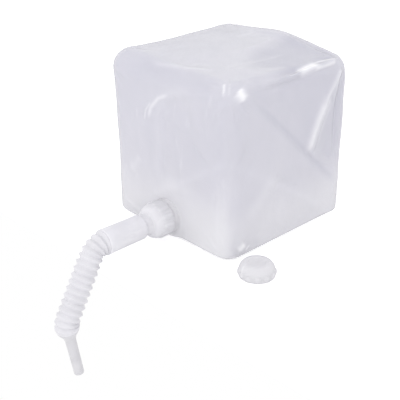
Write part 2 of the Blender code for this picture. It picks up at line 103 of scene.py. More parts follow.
class Signal:
    """A node's output, which sums and products can be made of."""

    def __init__(self, graph: Graph, socket: bpy.types.NodeSocket) -> None:
        """Keeps the output and the graph that it is in."""
        self.graph, self.socket = graph, socket

    def other(self, output: int | str) -> Signal:
        """Returns another output of the same node."""
        return Signal(self.graph, self.socket.node.outputs[output])

    def __add__(self, value: Any) -> Signal:
        """Adds a value."""
        return self.graph.maths("ADD", self, value)

    def __sub__(self, value: Any) -> Signal:
        """Takes a value away."""
        return self.graph.maths("SUBTRACT", self, value)

    def __rsub__(self, value: Any) -> Signal:
        """Takes this away from a value."""
        return self.graph.maths("SUBTRACT", value, self)

    def __mul__(self, value: Any) -> Signal:
        """Multiplies by a value."""
        return self.graph.maths("MULTIPLY", self, value)

    def __truediv__(self, value: Any) -> Signal:
        """Divides by a value."""
        return self.graph.maths("DIVIDE", self, value)


class Graph:
    """A node tree under construction, of shader or geometry nodes."""

    NUMBERS = {int: "NodeSocketInt", float: "NodeSocketFloat"}
    OUTPUTS = {"ShaderNodeTree": "NodeSocketFloat", "GeometryNodeTree": "NodeSocketGeometry"}

    def __init__(self, tree: bpy.types.NodeTree) -> None:
        """Works on this tree."""
        self.tree = tree

    @classmethod
    def group(cls, name: str, kind: str, inputs: dict[str, Any], *outputs: str) -> tuple[Graph, list[Signal]]:
        """Makes a node group with named inputs and outputs.

        Args:
            name: the group's name.
            kind: the tree's type, which also says what type its outputs are.
            inputs: each input's default number, or its socket type where it has none.
            outputs: the outputs' names.

        Returns:
            The graph and its inputs.
        """
        graph = cls(bpy.data.node_groups.new(name, kind))
        sockets = graph.tree.interface
        for label, given in inputs.items():
            socket = cls.NUMBERS.get(type(given), given)
            made = sockets.new_socket(label, in_out="INPUT", socket_type=socket)
            if socket is not given:
                made.default_value = given
        for label in outputs:
            sockets.new_socket(label, in_out="OUTPUT", socket_type=cls.OUTPUTS[kind])
        source = graph.tree.nodes.new("NodeGroupInput")
        return graph, [Signal(graph, source.outputs[i]) for i in range(len(inputs))]

    def put_out(self, *values: Signal) -> bpy.types.NodeTree:
        """Gives a group its outputs, in order, and returns its tree."""
        self.fill(self.tree.nodes.new("NodeGroupOutput"), dict(enumerate(values)))
        return self.tree

    def fill(self, node: bpy.types.Node, inputs: dict[Any, Any]) -> None:
        """Gives a node's inputs their values, or links them.

        Args:
            node: the node.
            inputs: a value or an output for each input, by name or number; colours have three numbers.
        """
        for key, value in inputs.items():
            socket = node.inputs[key]
            if isinstance(value, Signal):
                self.tree.links.new(value.socket, socket)
            else:
                socket.default_value = (*value, 1.0) if socket.type == "RGBA" else value

    def node(
        self, kind: str, inputs: dict[Any, Any] | None = None, output: int | str = 0, **settings: Any
    ) -> Signal:
        """Adds a node.

        Args:
            kind: the node's type.
            inputs: what its inputs get.
            output: the output that is wanted.
            settings: the node's own properties.

        Returns:
            That output.
        """
        made = self.tree.nodes.new(kind)
        for name, value in settings.items():
            setattr(made, name, value)
        self.fill(made, inputs or {})
        return Signal(self, made.outputs[output])

    def maths(self, operation: str, *values: Any) -> Signal:
        """Adds a Math node and returns its result."""
        return self.node("ShaderNodeMath", dict(enumerate(values)), operation=operation)

    def most(self, first: Any, second: Any) -> Signal:
        """Returns the greater of two values."""
        return self.maths("MAXIMUM", first, second)

    def ramp(self, value: Any, low: float, high: float, at_low: float = 0.0, at_high: float = 1.0) -> Signal:
        """Maps a value smoothly from one range to another and returns the result."""
        inputs = dict(enumerate((value, low, high, at_low, at_high)))
        return self.node("ShaderNodeMapRange", inputs, interpolation_type="SMOOTHSTEP")

    def mixed(self, share: Any, first: Any, second: Any) -> Signal:
        """Adds a colour Mix node and returns its result."""
        return self.node("ShaderNodeMix", {0: share, 6: first, 7: second}, 2, data_type="RGBA")

    def noise(self, place: Signal, scale: Any, detail: float = 2.0, distortion: float = 0.0) -> Signal:
        """Adds a Noise texture and returns its factor."""
        inputs = {"Vector": place, "Scale": scale, "Detail": detail, "Distortion": distortion}
        return self.node("ShaderNodeTexNoise", inputs)


class SharedMarks:
    """The shader node groups that several finishes use."""

    FLOW_SHARE = 0.8
    SCRATCHES = {"Scale": (1.0, 0.14, 0.3), "Rotation": (0.3, 0.5, 0.7)}
    PATCH_SCALE = 0.15
    DRAWN = {"Scale": (1.0, 1.0, 0.45)}

    def __init__(self) -> None:
        """Builds each group once."""
        self.moulding, self.handling, self.haze = self._moulding(), self._handling(), self._haze()

    @staticmethod
    def _group(name: str, sizes: dict[str, float], *outputs: str) -> tuple[Graph, list[Signal]]:
        """Starts a group that takes a place and some sizes, and returns it with its inputs."""
        return Graph.group(name, "ShaderNodeTree", {"Vector": "NodeSocketVector", **sizes}, *outputs)

    def _moulding(self) -> bpy.types.NodeTree:
        """Flow lines and fine grain that a mould leaves on plastic.

        Returns:
            A group that puts out a height, a gloss mask and a tint mask.
        """
        sizes = {"Flow Scale": 40.0, "Grain Scale": 900.0}
        graph, (place, flow, grain) = self._group("moulding_marks", sizes, "Height", "Gloss", "Tint")
        lines = graph.noise(place, flow, detail=3.0, distortion=0.6)
        fine = graph.noise(place, grain)
        height = lines * self.FLOW_SHARE + fine * (1.0 - self.FLOW_SHARE)
        return graph.put_out(height, graph.ramp(fine, 0.3, 0.7), graph.ramp(lines, 0.35, 0.65))

    def _handling(self) -> bpy.types.NodeTree:
        """Faint scratches and rubbed spots from use.

        Returns:
            A group that puts out one mask, 1 where the surface is rubbed.
        """
        sizes = {"Scale": 120.0, "Amount": 0.5}
        graph, (place, scale, amount) = self._group("handling_marks", sizes, "Rubbed")
        turned_place = graph.node("ShaderNodeMapping", {"Vector": place, **self.SCRATCHES})
        scratches = graph.noise(turned_place, scale, detail=4.0)
        patches = graph.noise(place, scale * self.PATCH_SCALE)
        return graph.put_out(graph.ramp(scratches, 0.58, 0.72) * graph.ramp(patches, 0.4, 0.65) * amount)

    def _haze(self) -> bpy.types.NodeTree:
        """The cloudiness of blown film: slow thick and thin places, drawn along its height.

        Returns:
            A group that puts out a cloud mask and a height.
        """
        sizes = {"Cloud Scale": 9.0, "Ripple Scale": 60.0}
        graph, (place, cloud_scale, ripple_scale) = self._group("film_haze", sizes, "Cloud", "Height")
        drawn = graph.node("ShaderNodeMapping", {"Vector": place, **self.DRAWN})
        cloud = graph.noise(drawn, cloud_scale, detail=3.0, distortion=0.8)
        return graph.put_out(graph.ramp(cloud, 0.3, 0.7), graph.noise(place, ripple_scale, distortion=1.2))


def fresh_material(name: str) -> tuple[Finish, Graph, bpy.types.Node, Signal]:
    """Makes a material with its Principled shader.

    Args:
        name: the material's name.

    Returns:
        The material, its graph, the shader node and the object coordinates.
    """
    material = bpy.data.materials.new(name)
    material.use_nodes = True
    graph = Graph(material.node_tree)
    place = graph.node("ShaderNodeTexCoord", output="Object")
    return material, graph, material.node_tree.nodes["Principled BSDF"], place


@dataclass(frozen=True)
class PlasticFinish:
    """A moulded plastic."""

    name: str
    colour: Point
    shade: Point
    roughness: float
    roughness_spread: float = 0.10
    rubbed_roughness: float = 0.25
    bump: float = 0.12
    bump_height: float = 0.0004
    rubbed: float = 0.5
    alpha: float = 1.0
    inner_glow: float = 0.12
    glow_depth: float = 0.002

    def material(self, marks: SharedMarks) -> Finish:
        """Builds the material.

        Args:
            marks: the shared node groups.

        Returns:
            The material, with its colour, roughness and bump from nodes.
        """
        material, graph, shader, place = fresh_material(self.name)
        height = graph.node("ShaderNodeGroup", {"Vector": place}, "Height", node_tree=marks.moulding)
        inputs = {"Vector": place, "Amount": self.rubbed}
        rubbed = graph.node("ShaderNodeGroup", inputs, node_tree=marks.handling)
        tint = graph.mixed(height.other("Tint"), self.shade, self.colour)
        relief = {"Height": height, "Strength": self.bump, "Distance": self.bump_height}
        gloss = height.other("Gloss") * self.roughness_spread + self.roughness
        graph.fill(shader, {
            "Base Color": graph.mixed(rubbed, tint, tuple(0.5 * (c + 1.0) for c in self.colour)),
            "Roughness": gloss + rubbed * self.rubbed_roughness,
            "Normal": graph.node("ShaderNodeBump", relief),
            "Subsurface Weight": self.inner_glow,
            "Subsurface Radius": (1.0, 1.0, 1.0),
            "Subsurface Scale": self.glow_depth,
            "Alpha": self.alpha,
        })
        return material


@dataclass(frozen=True)
class FilmFinish:
    """The bag's milky film, cloudier where it is thick and white where a fold has strained it, with painted
    highlights on creases, painted shade on folds and along its outline, and painted light low down.

    Each ramp turns a height, a place across or back, or a slant into a share.
    """

    name: str = "milky_film"
    clear: Point = (0.634, 0.631, 0.709)
    milky: Point = (0.715, 0.705, 0.750)
    # painted shade: the colour that facets, steps and valleys are darkened towards
    painted_fold_shade: Point = (0.510, 0.508, 0.596)
    # painted light: the colour that the lower walls and the lower front wall are lightened towards, in place
    # of light from the floor
    painted_floor_light: Point = (0.810, 0.808, 0.830)
    # painted shade: the dark colour that the film turns where it is seen edge-on, a painted dark outline
    painted_rim_shade: Point = (0.36, 0.36, 0.42)
    # white of strain whitening and rubbed wear, also used for painted highlights on creases and painted light
    # along the foot
    whitening_and_painted_light: Point = (0.93, 0.93, 0.95)
    # painted light: the colour of a glow low on the outer walls, though the film is no lamp
    painted_glow: Point = (0.93, 0.92, 0.96)
    clear_alpha: float = 0.80
    milky_alpha: float = 0.92
    whitening_and_painted_light_alpha: float = 0.97
    roughness: float = 0.13
    cloud_roughness: float = 0.06
    white_roughness: float = 0.12
    cloud_milk: float = 0.30
    thick_milk: float = 0.10
    # milkier and lighter low down: partly the film's milkiness, partly painted light from the floor
    low_milk: Ramp = (0.02, 0.17, 0.45, 0.0)
    # painted light: the heights and the places across where the lower walls are lightened
    floor_light_height: Ramp = (0.036, 0.100, 0.64, 0.0)
    floor_light_across: Ramp = (0.108, 0.118, 0.92, 0.70)
    # painted light: the heights, and the places on the front wall, where it is lightened low down
    front: Ramp = (0.03, 0.135, 1.0, 0.0)
    front_across: Ramp = (-0.055, 0.020, 0.0, 0.60)
    front_back: Ramp = (-0.119, -0.110, 1.0, 0.0)
    # how edge-on the film is seen, for its painted dark outline and for dimming its gloss
    grazing: Ramp = (0.65, 0.90, 0.0, 0.72)
    # painted light: whiter along the very foot of the film, over its shaded underside
    foot_painted_light: Ramp = (0.0, 0.009, 0.9, 0.0)
    # painted light: the heights, and how far out, where the foot of the outer walls glows
    foot_painted_glow: Ramp = (0.0, 0.013, 0.24, 0.0)
    foot_outward: Ramp = (0.107, 0.113, 0.0, 1.0)
    scratch_scale: float = 70.0
    rubbed: float = 0.35
    rubbed_white: float = 0.4
    bump: float = 0.25
    bump_height: float = 0.0012
    specular: float = 0.5
    refraction: float = 1.52
    coat_roughness: float = 0.08

    def material(self, marks: SharedMarks) -> Finish:
        """Builds the material.

        Args:
            marks: the shared node groups.

        Returns:
            One Principled material with a plain Alpha.
        """
        material, graph, shader, place = fresh_material(self.name)
        cloud = graph.node("ShaderNodeGroup", {"Vector": place}, "Cloud", node_tree=marks.haze)
        inputs = {"Vector": place, "Scale": self.scratch_scale, "Amount": self.rubbed}
        rubbed = graph.node("ShaderNodeGroup", inputs, node_tree=marks.handling)
        names = (FilmBag.STRAIN_AND_HIGHLIGHT, FilmBag.THICK, FilmBag.PAINTED_SHADE)
        strain_and_highlight, thick, painted_shade = (
            graph.node("ShaderNodeAttribute", output="Fac", attribute_name=name) for name in names
        )
        across = graph.node("ShaderNodeSeparateXYZ", {0: place}, "X")
        back, up = across.other("Y"), across.other("Z")
        # milkiness from cloud and thickness, with painted light low down
        milk_and_low_light = cloud * self.cloud_milk + thick * self.thick_milk + graph.ramp(up, *self.low_milk)
        facing = graph.node("ShaderNodeLayerWeight", {"Blend": 0.5}, "Facing")
        grazing = graph.ramp(facing, *self.grazing)
        front = graph.ramp(across, *self.front_across) * graph.ramp(back, *self.front_back)
        body = graph.mixed(milk_and_low_light, self.clear, self.milky)
        for share, colour in (
            # painted shade on facets, steps and valleys
            (painted_shade, self.painted_fold_shade),
            # painted light on the lower walls and the lower front wall
            (graph.ramp(up, *self.floor_light_height) * graph.ramp(across, *self.floor_light_across), self.painted_floor_light),
            (graph.ramp(up, *self.front) * front, self.painted_floor_light),
            # painted shade along the outline
            (grazing, self.painted_rim_shade),
        ):
            body = graph.mixed(share, body, colour)
        # whiter where strain whitens the film or a painted highlight lies, where it is rubbed, and as painted
        # light along the foot
        white = graph.most(graph.most(strain_and_highlight, rubbed * self.rubbed_white), graph.ramp(up, *self.foot_painted_light))
        outward = graph.most(graph.maths("ABSOLUTE", across), graph.maths("ABSOLUTE", back))
        alpha = graph.ramp(milk_and_low_light, 0.0, 1.0, self.clear_alpha, self.milky_alpha)
        relief = {"Height": cloud.other("Height"), "Strength": self.bump, "Distance": self.bump_height}
        graph.fill(shader, {
            "Base Color": graph.mixed(white, body, self.whitening_and_painted_light),
            "Roughness": cloud * self.cloud_roughness + self.roughness + white * self.white_roughness,
            "IOR": self.refraction,
            "Alpha": alpha + white * (self.whitening_and_painted_light_alpha - alpha),
            "Normal": graph.node("ShaderNodeBump", relief),
            "Specular IOR Level": self.specular - grazing * self.specular,
            "Coat Weight": 1.0 - grazing,
            "Coat Roughness": self.coat_roughness,
            # painted light: the foot of the outer walls glows
            "Emission Color": self.painted_glow,
            "Emission Strength": graph.ramp(outward, *self.foot_outward) * graph.ramp(up, *self.foot_painted_glow),
        })
        return material


PLASTICS = (
    PlasticFinish("spout_white", (0.82, 0.815, 0.85), (0.78, 0.775, 0.81), 0.28),
    # The bellows' white is the spout's white made darker, as painted shade.
    PlasticFinish("bellows_white", (0.75, 0.745, 0.775), (0.71, 0.705, 0.735), 0.30),
    # The collar's white is the spout's white made darker, as painted shade.
    PlasticFinish("collar_white", (0.785, 0.78, 0.812), (0.745, 0.74, 0.77), 0.30),
    PlasticFinish(
        "tip_natural", (0.725, 0.72, 0.745), (0.67, 0.665, 0.69), 0.26, alpha=0.90, inner_glow=0.0
    ),
    PlasticFinish("cap_natural", (0.735, 0.73, 0.755), (0.70, 0.695, 0.72), 0.42),
    PlasticFinish("seal_grey", (0.50, 0.51, 0.53), (0.44, 0.45, 0.47), 0.62, bump=0.3, inner_glow=0.0),
)


@dataclass(frozen=True)
class Axis:
    """A line that turned pieces are built on: runs are measured along it, turn is about it."""

    origin: Vector
    along: Vector
    turn: float = 0.0

    def matrix(self) -> Matrix:
        """Works out how a shape built about Z at the origin gets on to this line.

        Returns:
            The turn and move.
        """
        along, aside = self.along.normalized(), Vector((1.0, 0.0, 0.0))
        aim = Matrix((aside, along.cross(aside), along)).transposed().to_4x4()
        return Matrix.Translation(self.origin) @ aim @ Matrix.Rotation(self.turn, 4, "Z")


class Outline:
    """A turned piece's outline: corners in (radius, run), each with its own rounding."""

    ARC_STEPS = 10
    ROUND_STEPS = 4

    def __init__(self, closed: bool = True) -> None:
        """Starts an outline; an open one has both its ends on the axis."""
        self.closed = closed
        self.corners: list[tuple[float, ...]] = []

    def to(self, *corners: tuple[float, ...]) -> Outline:
        """Adds corners, of (radius, run) or (radius, run, rounding), and returns the outline."""
        self.corners += [(*corner, 0.0)[:3] for corner in corners]
        return self

    def curve(self, centre: Pair, spread: Pair, start: float, end: float) -> Outline:
        """Adds the points of an arc.

        Args:
            centre: its centre.
            spread: its half-widths in radius and in run.
            start: the angle that it starts at, in degrees.
            end: the angle that it ends at.

        Returns:
            The outline.
        """
        for i in range(self.ARC_STEPS + 1):
            angle = math.radians(start + (end - start) * i / self.ARC_STEPS)
            self.to((centre[0] + spread[0] * math.cos(angle), centre[1] + spread[1] * math.sin(angle)))
        return self

    def points(self) -> list[Pair]:
        """Lists the outline's points.

        Returns:
            Its corners, with each rounded one as an arc.
        """
        made: list[Pair] = []
        count = len(self.corners)
        for i, (radius, run, rounding) in enumerate(self.corners):
            here = Vector((radius, run))
            if rounding <= 0.0 or (not self.closed and i in (0, count - 1)):
                made.append((radius, run))
                continue
            before = Vector(self.corners[i - 1][:2]) - here
            after = Vector(self.corners[(i + 1) % count][:2]) - here
            half = before.angle(after) / 2
            reach = min(rounding / math.tan(half), 0.49 * before.length, 0.49 * after.length)
            first, last = here + before.normalized() * reach, here + after.normalized() * reach
            for step in range(self.ROUND_STEPS + 1):
                share = step / self.ROUND_STEPS
                made.append(tuple(first.lerp(here, share).lerp(here.lerp(last, share), share)))
        return made


def turned(name: str, outline: Outline, finish: Finish | None = None, steps: int = 96) -> Piece:
    """Turns an outline about Z into a closed piece.

    Args:
        name: the piece's name.
        outline: the corners to turn.
        finish: its material, unless a tree gives it one later.
        steps: how many steps a full turn takes.

    Returns:
        The piece, its faces outwards.
    """
    shape = bmesh.new()
    rings = []
    turns = [(math.cos(math.tau * i / steps), math.sin(math.tau * i / steps)) for i in range(steps)]
    for radius, run in outline.points():
        if radius < 1e-7:
            rings.append([shape.verts.new((0.0, 0.0, run))] * steps)
        else:
            rings.append([shape.verts.new((radius * x, radius * y, run)) for x, y in turns])
    pairs = list(zip(rings, rings[1:])) + ([(rings[-1], rings[0])] if outline.closed else [])
    for low, high in pairs:
        for i in range(steps):
            j = (i + 1) % steps
            corners = list(dict.fromkeys((low[i], low[j], high[j], high[i])))
            if len(corners) > 2:
                shape.faces.new(corners)
    piece = new_piece(name, outward(shape, bpy.data.meshes.new(name)))
    if finish:
        piece.data.materials.append(finish)
    return piece


def outward(shape: bmesh.types.BMesh, mesh: bpy.types.Mesh) -> bpy.types.Mesh:
    """Turns a shape's faces outwards and keeps it as a mesh.

    Args:
        shape: the shape, freed here.
        mesh: the mesh that it goes into.

    Returns:
        The mesh.
    """
    bmesh.ops.recalc_face_normals(shape, faces=shape.faces)
    shape.to_mesh(mesh)
    shape.free()
    return mesh


def new_piece(name: str, data: Any) -> Piece:
    """Puts something in the scene.

    Args:
        name: its name.
        data: its mesh, lamp or camera.

    Returns:
        The object.
    """
    obj = bpy.data.objects.new(name, data)
    bpy.context.scene.collection.objects.link(obj)
    return obj


def shade(obj: Piece, degrees: float = 38.0) -> None:
    """Smooths a piece's shading, but keeps edges sharper than this angle."""
    obj.data.shade_smooth()
    obj.data.set_sharp_from_angle(angle=math.radians(degrees))


def note(mesh: bpy.types.Mesh, name: str, values: np.ndarray) -> None:
    """Keeps a value for each point of a mesh."""
    mesh.attributes.new(name, "FLOAT", "POINT").data.foreach_set("value", values.astype(np.float32))


def settle(obj: Piece, axis: Axis, body: Body, slot: Slot, *nodes: str) -> Piece:
    """Puts a piece built about Z in its place, on its body.

    Args:
        obj: the piece.
        axis: the line that it is moved on to.
        body: the body that carries it.
        slot: its material slot in the record; not used.
        nodes: the solids that it stands for.

    Returns:
        The piece.
    """
    obj.data.transform(axis.matrix())
    shade(obj)
    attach(obj, body.value)
    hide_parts(*nodes)
    return obj


class NodeMaker:
    """A Geometry Nodes tree that adds to a piece, and is then made a plain mesh."""

    NAME: str
    INPUTS: dict[str, Any]

    def __init__(self) -> None:
        """Builds the tree: what draw makes, as real geometry, smooth, in one material."""
        inputs = {"Geometry": "NodeSocketGeometry", **self.INPUTS, "Finish": "NodeSocketMaterial"}
        self.graph, (body, *sizes, finish) = Graph.group(self.NAME, "GeometryNodeTree", inputs, "Geometry")
        real = self.graph.node("GeometryNodeRealizeInstances", {0: self.draw(body, *sizes)})
        smooth = self.graph.node("GeometryNodeSetShadeSmooth", {0: real})
        ending = {"Geometry": smooth, "Material": finish}
        self.graph.put_out(self.graph.node("GeometryNodeSetMaterial", ending))

    def draw(self, body: Signal, *sizes: Signal) -> Signal:
        """Adds the tree's own nodes and returns the shape that they make."""
        raise NotImplementedError

    def apply(self, obj: Piece, **sizes: Any) -> None:
        """Runs the tree on a piece and keeps the result as its mesh.

        Args:
            obj: the piece.
            sizes: the tree's inputs, with underscores for spaces.
        """
        modifier = obj.modifiers.new(self.NAME, "NODES")
        modifier.node_group = self.graph.tree
        for item in self.graph.tree.interface.items_tree:
            key = item.name.replace(" ", "_").lower()
            if item.in_out == "INPUT" and key in sizes:
                modifier[item.identifier] = sizes.pop(key)
        if sizes:
            raise ValueError(f"{self.NAME} has no input {sorted(sizes)}")
        mesh = bpy.data.meshes.new_from_object(obj.evaluated_get(bpy.context.evaluated_depsgraph_get()))
        obj.modifiers.clear()
        obj.data = mesh

    def from_end(self) -> Signal:
        """Returns how far a curve's nearer end is, as a share of the curve."""
        share = self.graph.node("GeometryNodeSplineParameter", output="Factor")
        return self.graph.maths("MINIMUM", share, 1.0 - share)

    def raised(self, height: Signal) -> Signal:
        """Returns the point on the Z axis at this height."""
        return self.graph.node("ShaderNodeCombineXYZ", {2: height})

    def swept(self, curve: Signal, sides: int, radius: Any, scale: Signal) -> Signal:
        """Sweeps a circle along a curve and closes its ends.

        Args:
            curve: the curve.
            sides: how many points the circle has.
            radius: its radius.
            scale: how much larger it is at each point of the curve.

        Returns:
            The tube.
        """
        circle = self.graph.node("GeometryNodeCurvePrimitiveCircle", {"Resolution": sides, "Radius": radius})
        inputs = {"Curve": curve, "Profile Curve": circle, "Scale": scale, "Fill Caps": True}
        return self.graph.node("GeometryNodeCurveToMesh", inputs)

    def joined(self, body: Signal, added: Signal) -> Signal:
        """Joins what was made with the body.

        Args:
            body: the body.
            added: what was made.

        Returns:
            Both.
        """
        both = self.graph.node("GeometryNodeJoinGeometry", {0: added})
        self.graph.fill(both.socket.node, {0: body})
        return both


class GripRing(NodeMaker):
    """Finger grips round a cap: ribs along the skirt, with rounded ends."""

    NAME = "grip_ring"
    INPUTS = {"Count": 12, "Ring Radius": 0.02, "Grip Radius": 0.005, "Start": 0.0, "Length": 0.01}
    END_LENGTH = 0.0042
    END_SHARE = 0.68

    def draw(self, body: Signal, *sizes: Signal) -> Signal:
        """Draws the grips.

        Args:
            body: the cap.
            sizes: the inputs' values, in order.

        Returns:
            The cap with its grips.
        """
        graph, (count, ring, radius, start, length) = self.graph, sizes
        ends = {"Start": self.raised(start), "End": self.raised(start + length)}
        line = graph.node("GeometryNodeCurvePrimitiveLine", ends)
        fine = graph.node("GeometryNodeResampleCurve", {"Curve": line, "Count": 15})
        fall = 1.0 - graph.maths("MINIMUM", self.from_end() * length / self.END_LENGTH, 1.0)
        rounded = graph.maths("SQRT", 1.0 - fall * fall)
        grip = self.swept(fine, 20, radius, rounded * (1.0 - self.END_SHARE) + self.END_SHARE)
        places = graph.node("GeometryNodeMeshCircle", {"Vertices": count, "Radius": ring})
        grips = graph.node("GeometryNodeInstanceOnPoints", {"Points": places, "Instance": grip})
        return self.joined(body, grips)


class ThreadTurns(NodeMaker):
    """A round screw thread, right-handed, that fades out at both ends."""

    NAME = "thread_turns"
    INPUTS = {"Radius": 0.02, "Thickness": 0.001, "Pitch": 0.0042, "Turns": 2.5, "Start": 0.0}
    FADE: Ramp = (0.0, 0.06, 0.35, 1.0)

    def draw(self, body: Signal, *sizes: Signal) -> Signal:
        """Draws the thread.

        Args:
            body: the piece that it is on.
            sizes: the inputs' values, in order.

        Returns:
            The piece with its thread.
        """
        graph, (radius, thickness, pitch, turns, start) = self.graph, sizes
        ends = {"Start Radius": radius, "End Radius": radius, "Height": pitch * turns}
        helix = graph.node("GeometryNodeCurveSpiral", {"Resolution": 72, "Rotations": turns, **ends})
        placed = graph.node("GeometryNodeTransform", {"Geometry": helix, "Translation": self.raised(start)})
        return self.joined(body, self.swept(placed, 12, thickness, graph.ramp(self.from_end(), *self.FADE)))


class RibbedTube(NodeMaker):
    """A bellows along a path whose points carry their rib count and how plain they are."""

    NAME = "ribbed_tube"
    INPUTS = {"Crest Radius": 0.0172, "Root Radius": 0.0142, "Cuff Radius": 0.0164, "Crest Place": 0.45}
    RIB = "rib"
    PLAIN = "plain"
    STRAIGHT_SHARE = 0.75

    def draw(self, body: Signal, *sizes: Signal) -> Signal:
        """Draws the tube.

        Args:
            body: the path.
            sizes: the inputs' values, in order.

        Returns:
            The tube.
        """
        graph, (crest, root, cuff, place) = self.graph, sizes
        rib, plain = (
            graph.node("GeometryNodeInputNamedAttribute", {"Name": name}, data_type="FLOAT")
            for name in (self.RIB, self.PLAIN)
        )
        within = graph.maths("FRACT", rib)
        flank = graph.maths("MINIMUM", within / place, (1.0 - within) / (1.0 - place))
        height = flank * self.STRAIGHT_SHARE + graph.ramp(flank, 0.0, 1.0) * (1.0 - self.STRAIGHT_SHARE)
        ribbed = height * (crest - root) + root
        line = graph.node("GeometryNodeMeshToCurve", {"Mesh": body})
        return self.swept(line, 56, 1.0, ribbed + plain * (cuff - ribbed))


class Workshop:
    """The materials and the Geometry Nodes trees that the sub-assemblies share."""

    def __init__(self) -> None:
        """Builds each of them once."""
        marks = SharedMarks()
        self.film = FilmFinish().material(marks)
        plastics = (finish.material(marks) for finish in PLASTICS)
        self.spout, self.bellows, self.collar, self.tip, self.cap, self.seal = plastics
        self.grips, self.thread, self.ribs = GripRing(), ThreadTurns(), RibbedTube()


def smooth_step(values: np.ndarray) -> np.ndarray:
    """Eases values from 0 to 1, held outside that range."""
    t = np.clip(values, 0.0, 1.0)
    return t * t * (3.0 - 2.0 * t)


def bell(far: np.ndarray, width: float, power: float = 2.0) -> np.ndarray:
    """Falls smoothly from 1 to 0 with distance, over about this width."""
    return np.exp(-((far / width) ** power))


@dataclass(frozen=True)
class Crease:
    """A crease in the film, in millimetres.

    Its path lies on the bag's outside, depth is how far the film moves, width the crease's own
    half-width, reach how far a step or facet carries on, towards low_side. One number gives how
    white the fold goes, partly strain whitening and partly a painted highlight, and another how much
    painted shade darkens a facet, step or valley. The crease fades in over the first of its
    ends and out over the other, as shares of its path, and stops where the film faces less than
    edge towards its panel.
    """

    path: tuple[Point, ...]
    fold: Fold
    depth: float
    width: float
    strain_and_highlight: float = 0.0
    reach: float = 100.0
    low_side: Point = (0.0, 0.0, 0.0)
    ends: tuple[float, float] = (0.25, 0.25)
    edge: float = 0.15
    painted_shade: float = 0.0

    HALF_HEIGHT = 125.0
    FACING = 0.9  # the film faces its panel enough for the whole crease
    LINE_POWER = 1.5
    WHITENING_AND_HIGHLIGHT_SHARE = 0.6
    PAINTED_SHADE_END = 0.6  # painted shade of a step or facet lasts up to this share of its reach

    def nearest(self, points: np.ndarray) -> tuple[np.ndarray, np.ndarray, np.ndarray]:
        """Measures points against the path.

        Args:
            points: the film's points.

        Returns:
            Each point's distance from the path, its offset from it, and its share along it.
        """
        corners = np.array(self.path) / MM
        lengths = np.linalg.norm(np.diff(corners, axis=0), axis=1)
        total, passed = lengths.sum(), 0.0
        best, offset, share = np.full(len(points), np.inf), np.zeros_like(points), np.zeros(len(points))
        for start, end, length in zip(corners[:-1], corners[1:], lengths):
            along = np.clip((points - start) @ (end - start) / length**2, 0.0, 1.0)
            gap = points - start - along[:, None] * (end - start)
            far = np.linalg.norm(gap, axis=1)
            closer = far < best
            best = np.where(closer, far, best)
            offset = np.where(closer[:, None], gap, offset)
            share = np.where(closer, (passed + along * length) / total, share)
            passed += length
        return best, offset, share

    def panel(self) -> np.ndarray:
        """Finds the panel that the path lies on.

        Returns:
            Its outward direction.
        """
        middle = np.mean(np.array(self.path), axis=0) / self.HALF_HEIGHT - np.array((0.0, 0.0, 1.0))
        axis = int(np.argmax(np.abs(middle)))
        out = np.zeros(3)
        out[axis] = math.copysign(1.0, middle[axis])
        return out

    def press(self, points: np.ndarray, normal: np.ndarray) -> np.ndarray:
        """Works out what the crease does to the film.

        Args:
            points: the film's points.
            normal: the outward directions there.

        Returns:
            How far each point moves outwards, how white strain whitening and painted highlight make it, and
            how much painted shade darkens it, both from 0 to 1.
        """
        depth, width, reach = (size / MM for size in (self.depth, self.width, self.reach))
        far, offset, share = self.nearest(points)
        fade = smooth_step(share / self.ends[0]) * smooth_step((1.0 - share) / self.ends[1])
        fade *= smooth_step((normal @ self.panel() - self.edge) / (self.FACING - self.edge))
        past = offset @ np.array(self.low_side) / max(np.linalg.norm(self.low_side), 1e-9)
        if self.fold in (Fold.RIDGE, Fold.VALLEY):
            move = (depth if self.fold is Fold.RIDGE else -depth) * bell(far, width, self.LINE_POWER)
            # painted shade along a ridge or valley
            dark = bell(far, width)
        else:
            if self.fold is Fold.STEP:
                move = -depth * smooth_step(past / width) * (1.0 - smooth_step(past / reach))
            else:
                move = -depth * np.sin(math.pi * np.clip(past / reach, 0.0, 1.0))
            # painted shade past a step or facet, fading out towards its reach
            ending = (past / reach - self.PAINTED_SHADE_END) / (1.0 - self.PAINTED_SHADE_END)
            dark = smooth_step(past / (2.0 * width)) * (1.0 - smooth_step(ending))
        # strain whitening and painted highlight along the crease's line
        whitening_and_painted_light = bell(far, self.WHITENING_AND_HIGHLIGHT_SHARE * width)
        return np.stack([move, self.strain_and_highlight * whitening_and_painted_light, self.painted_shade * dark]) * fade


@dataclass(frozen=True)
class Dent:
    """A soft hollow, or a swelling where depth is below zero, in millimetres."""

    centre: Point
    radius: float
    depth: float

    def press(self, points: np.ndarray) -> np.ndarray:
        """Returns how far each point moves outwards."""
        far = np.linalg.norm(points - np.array(self.centre) / MM, axis=1)
        return -self.depth / MM * bell(far, self.radius / MM)


def wall(axis: int, level: float, *points: tuple[float, float]) -> tuple[Point, ...]:
    """Lays a path on a wall, from the other two coordinates of its points."""
    return tuple((*point[:axis], level, *point[axis:]) for point in points)


front, back = (partial(wall, 1, level) for level in (-120, 120))
left, side = (partial(wall, 0, level) for level in (-120, 120))
RIDGE, VALLEY, STEP, FACET = Fold
OVER_EDGE = {"edge": -1.0}
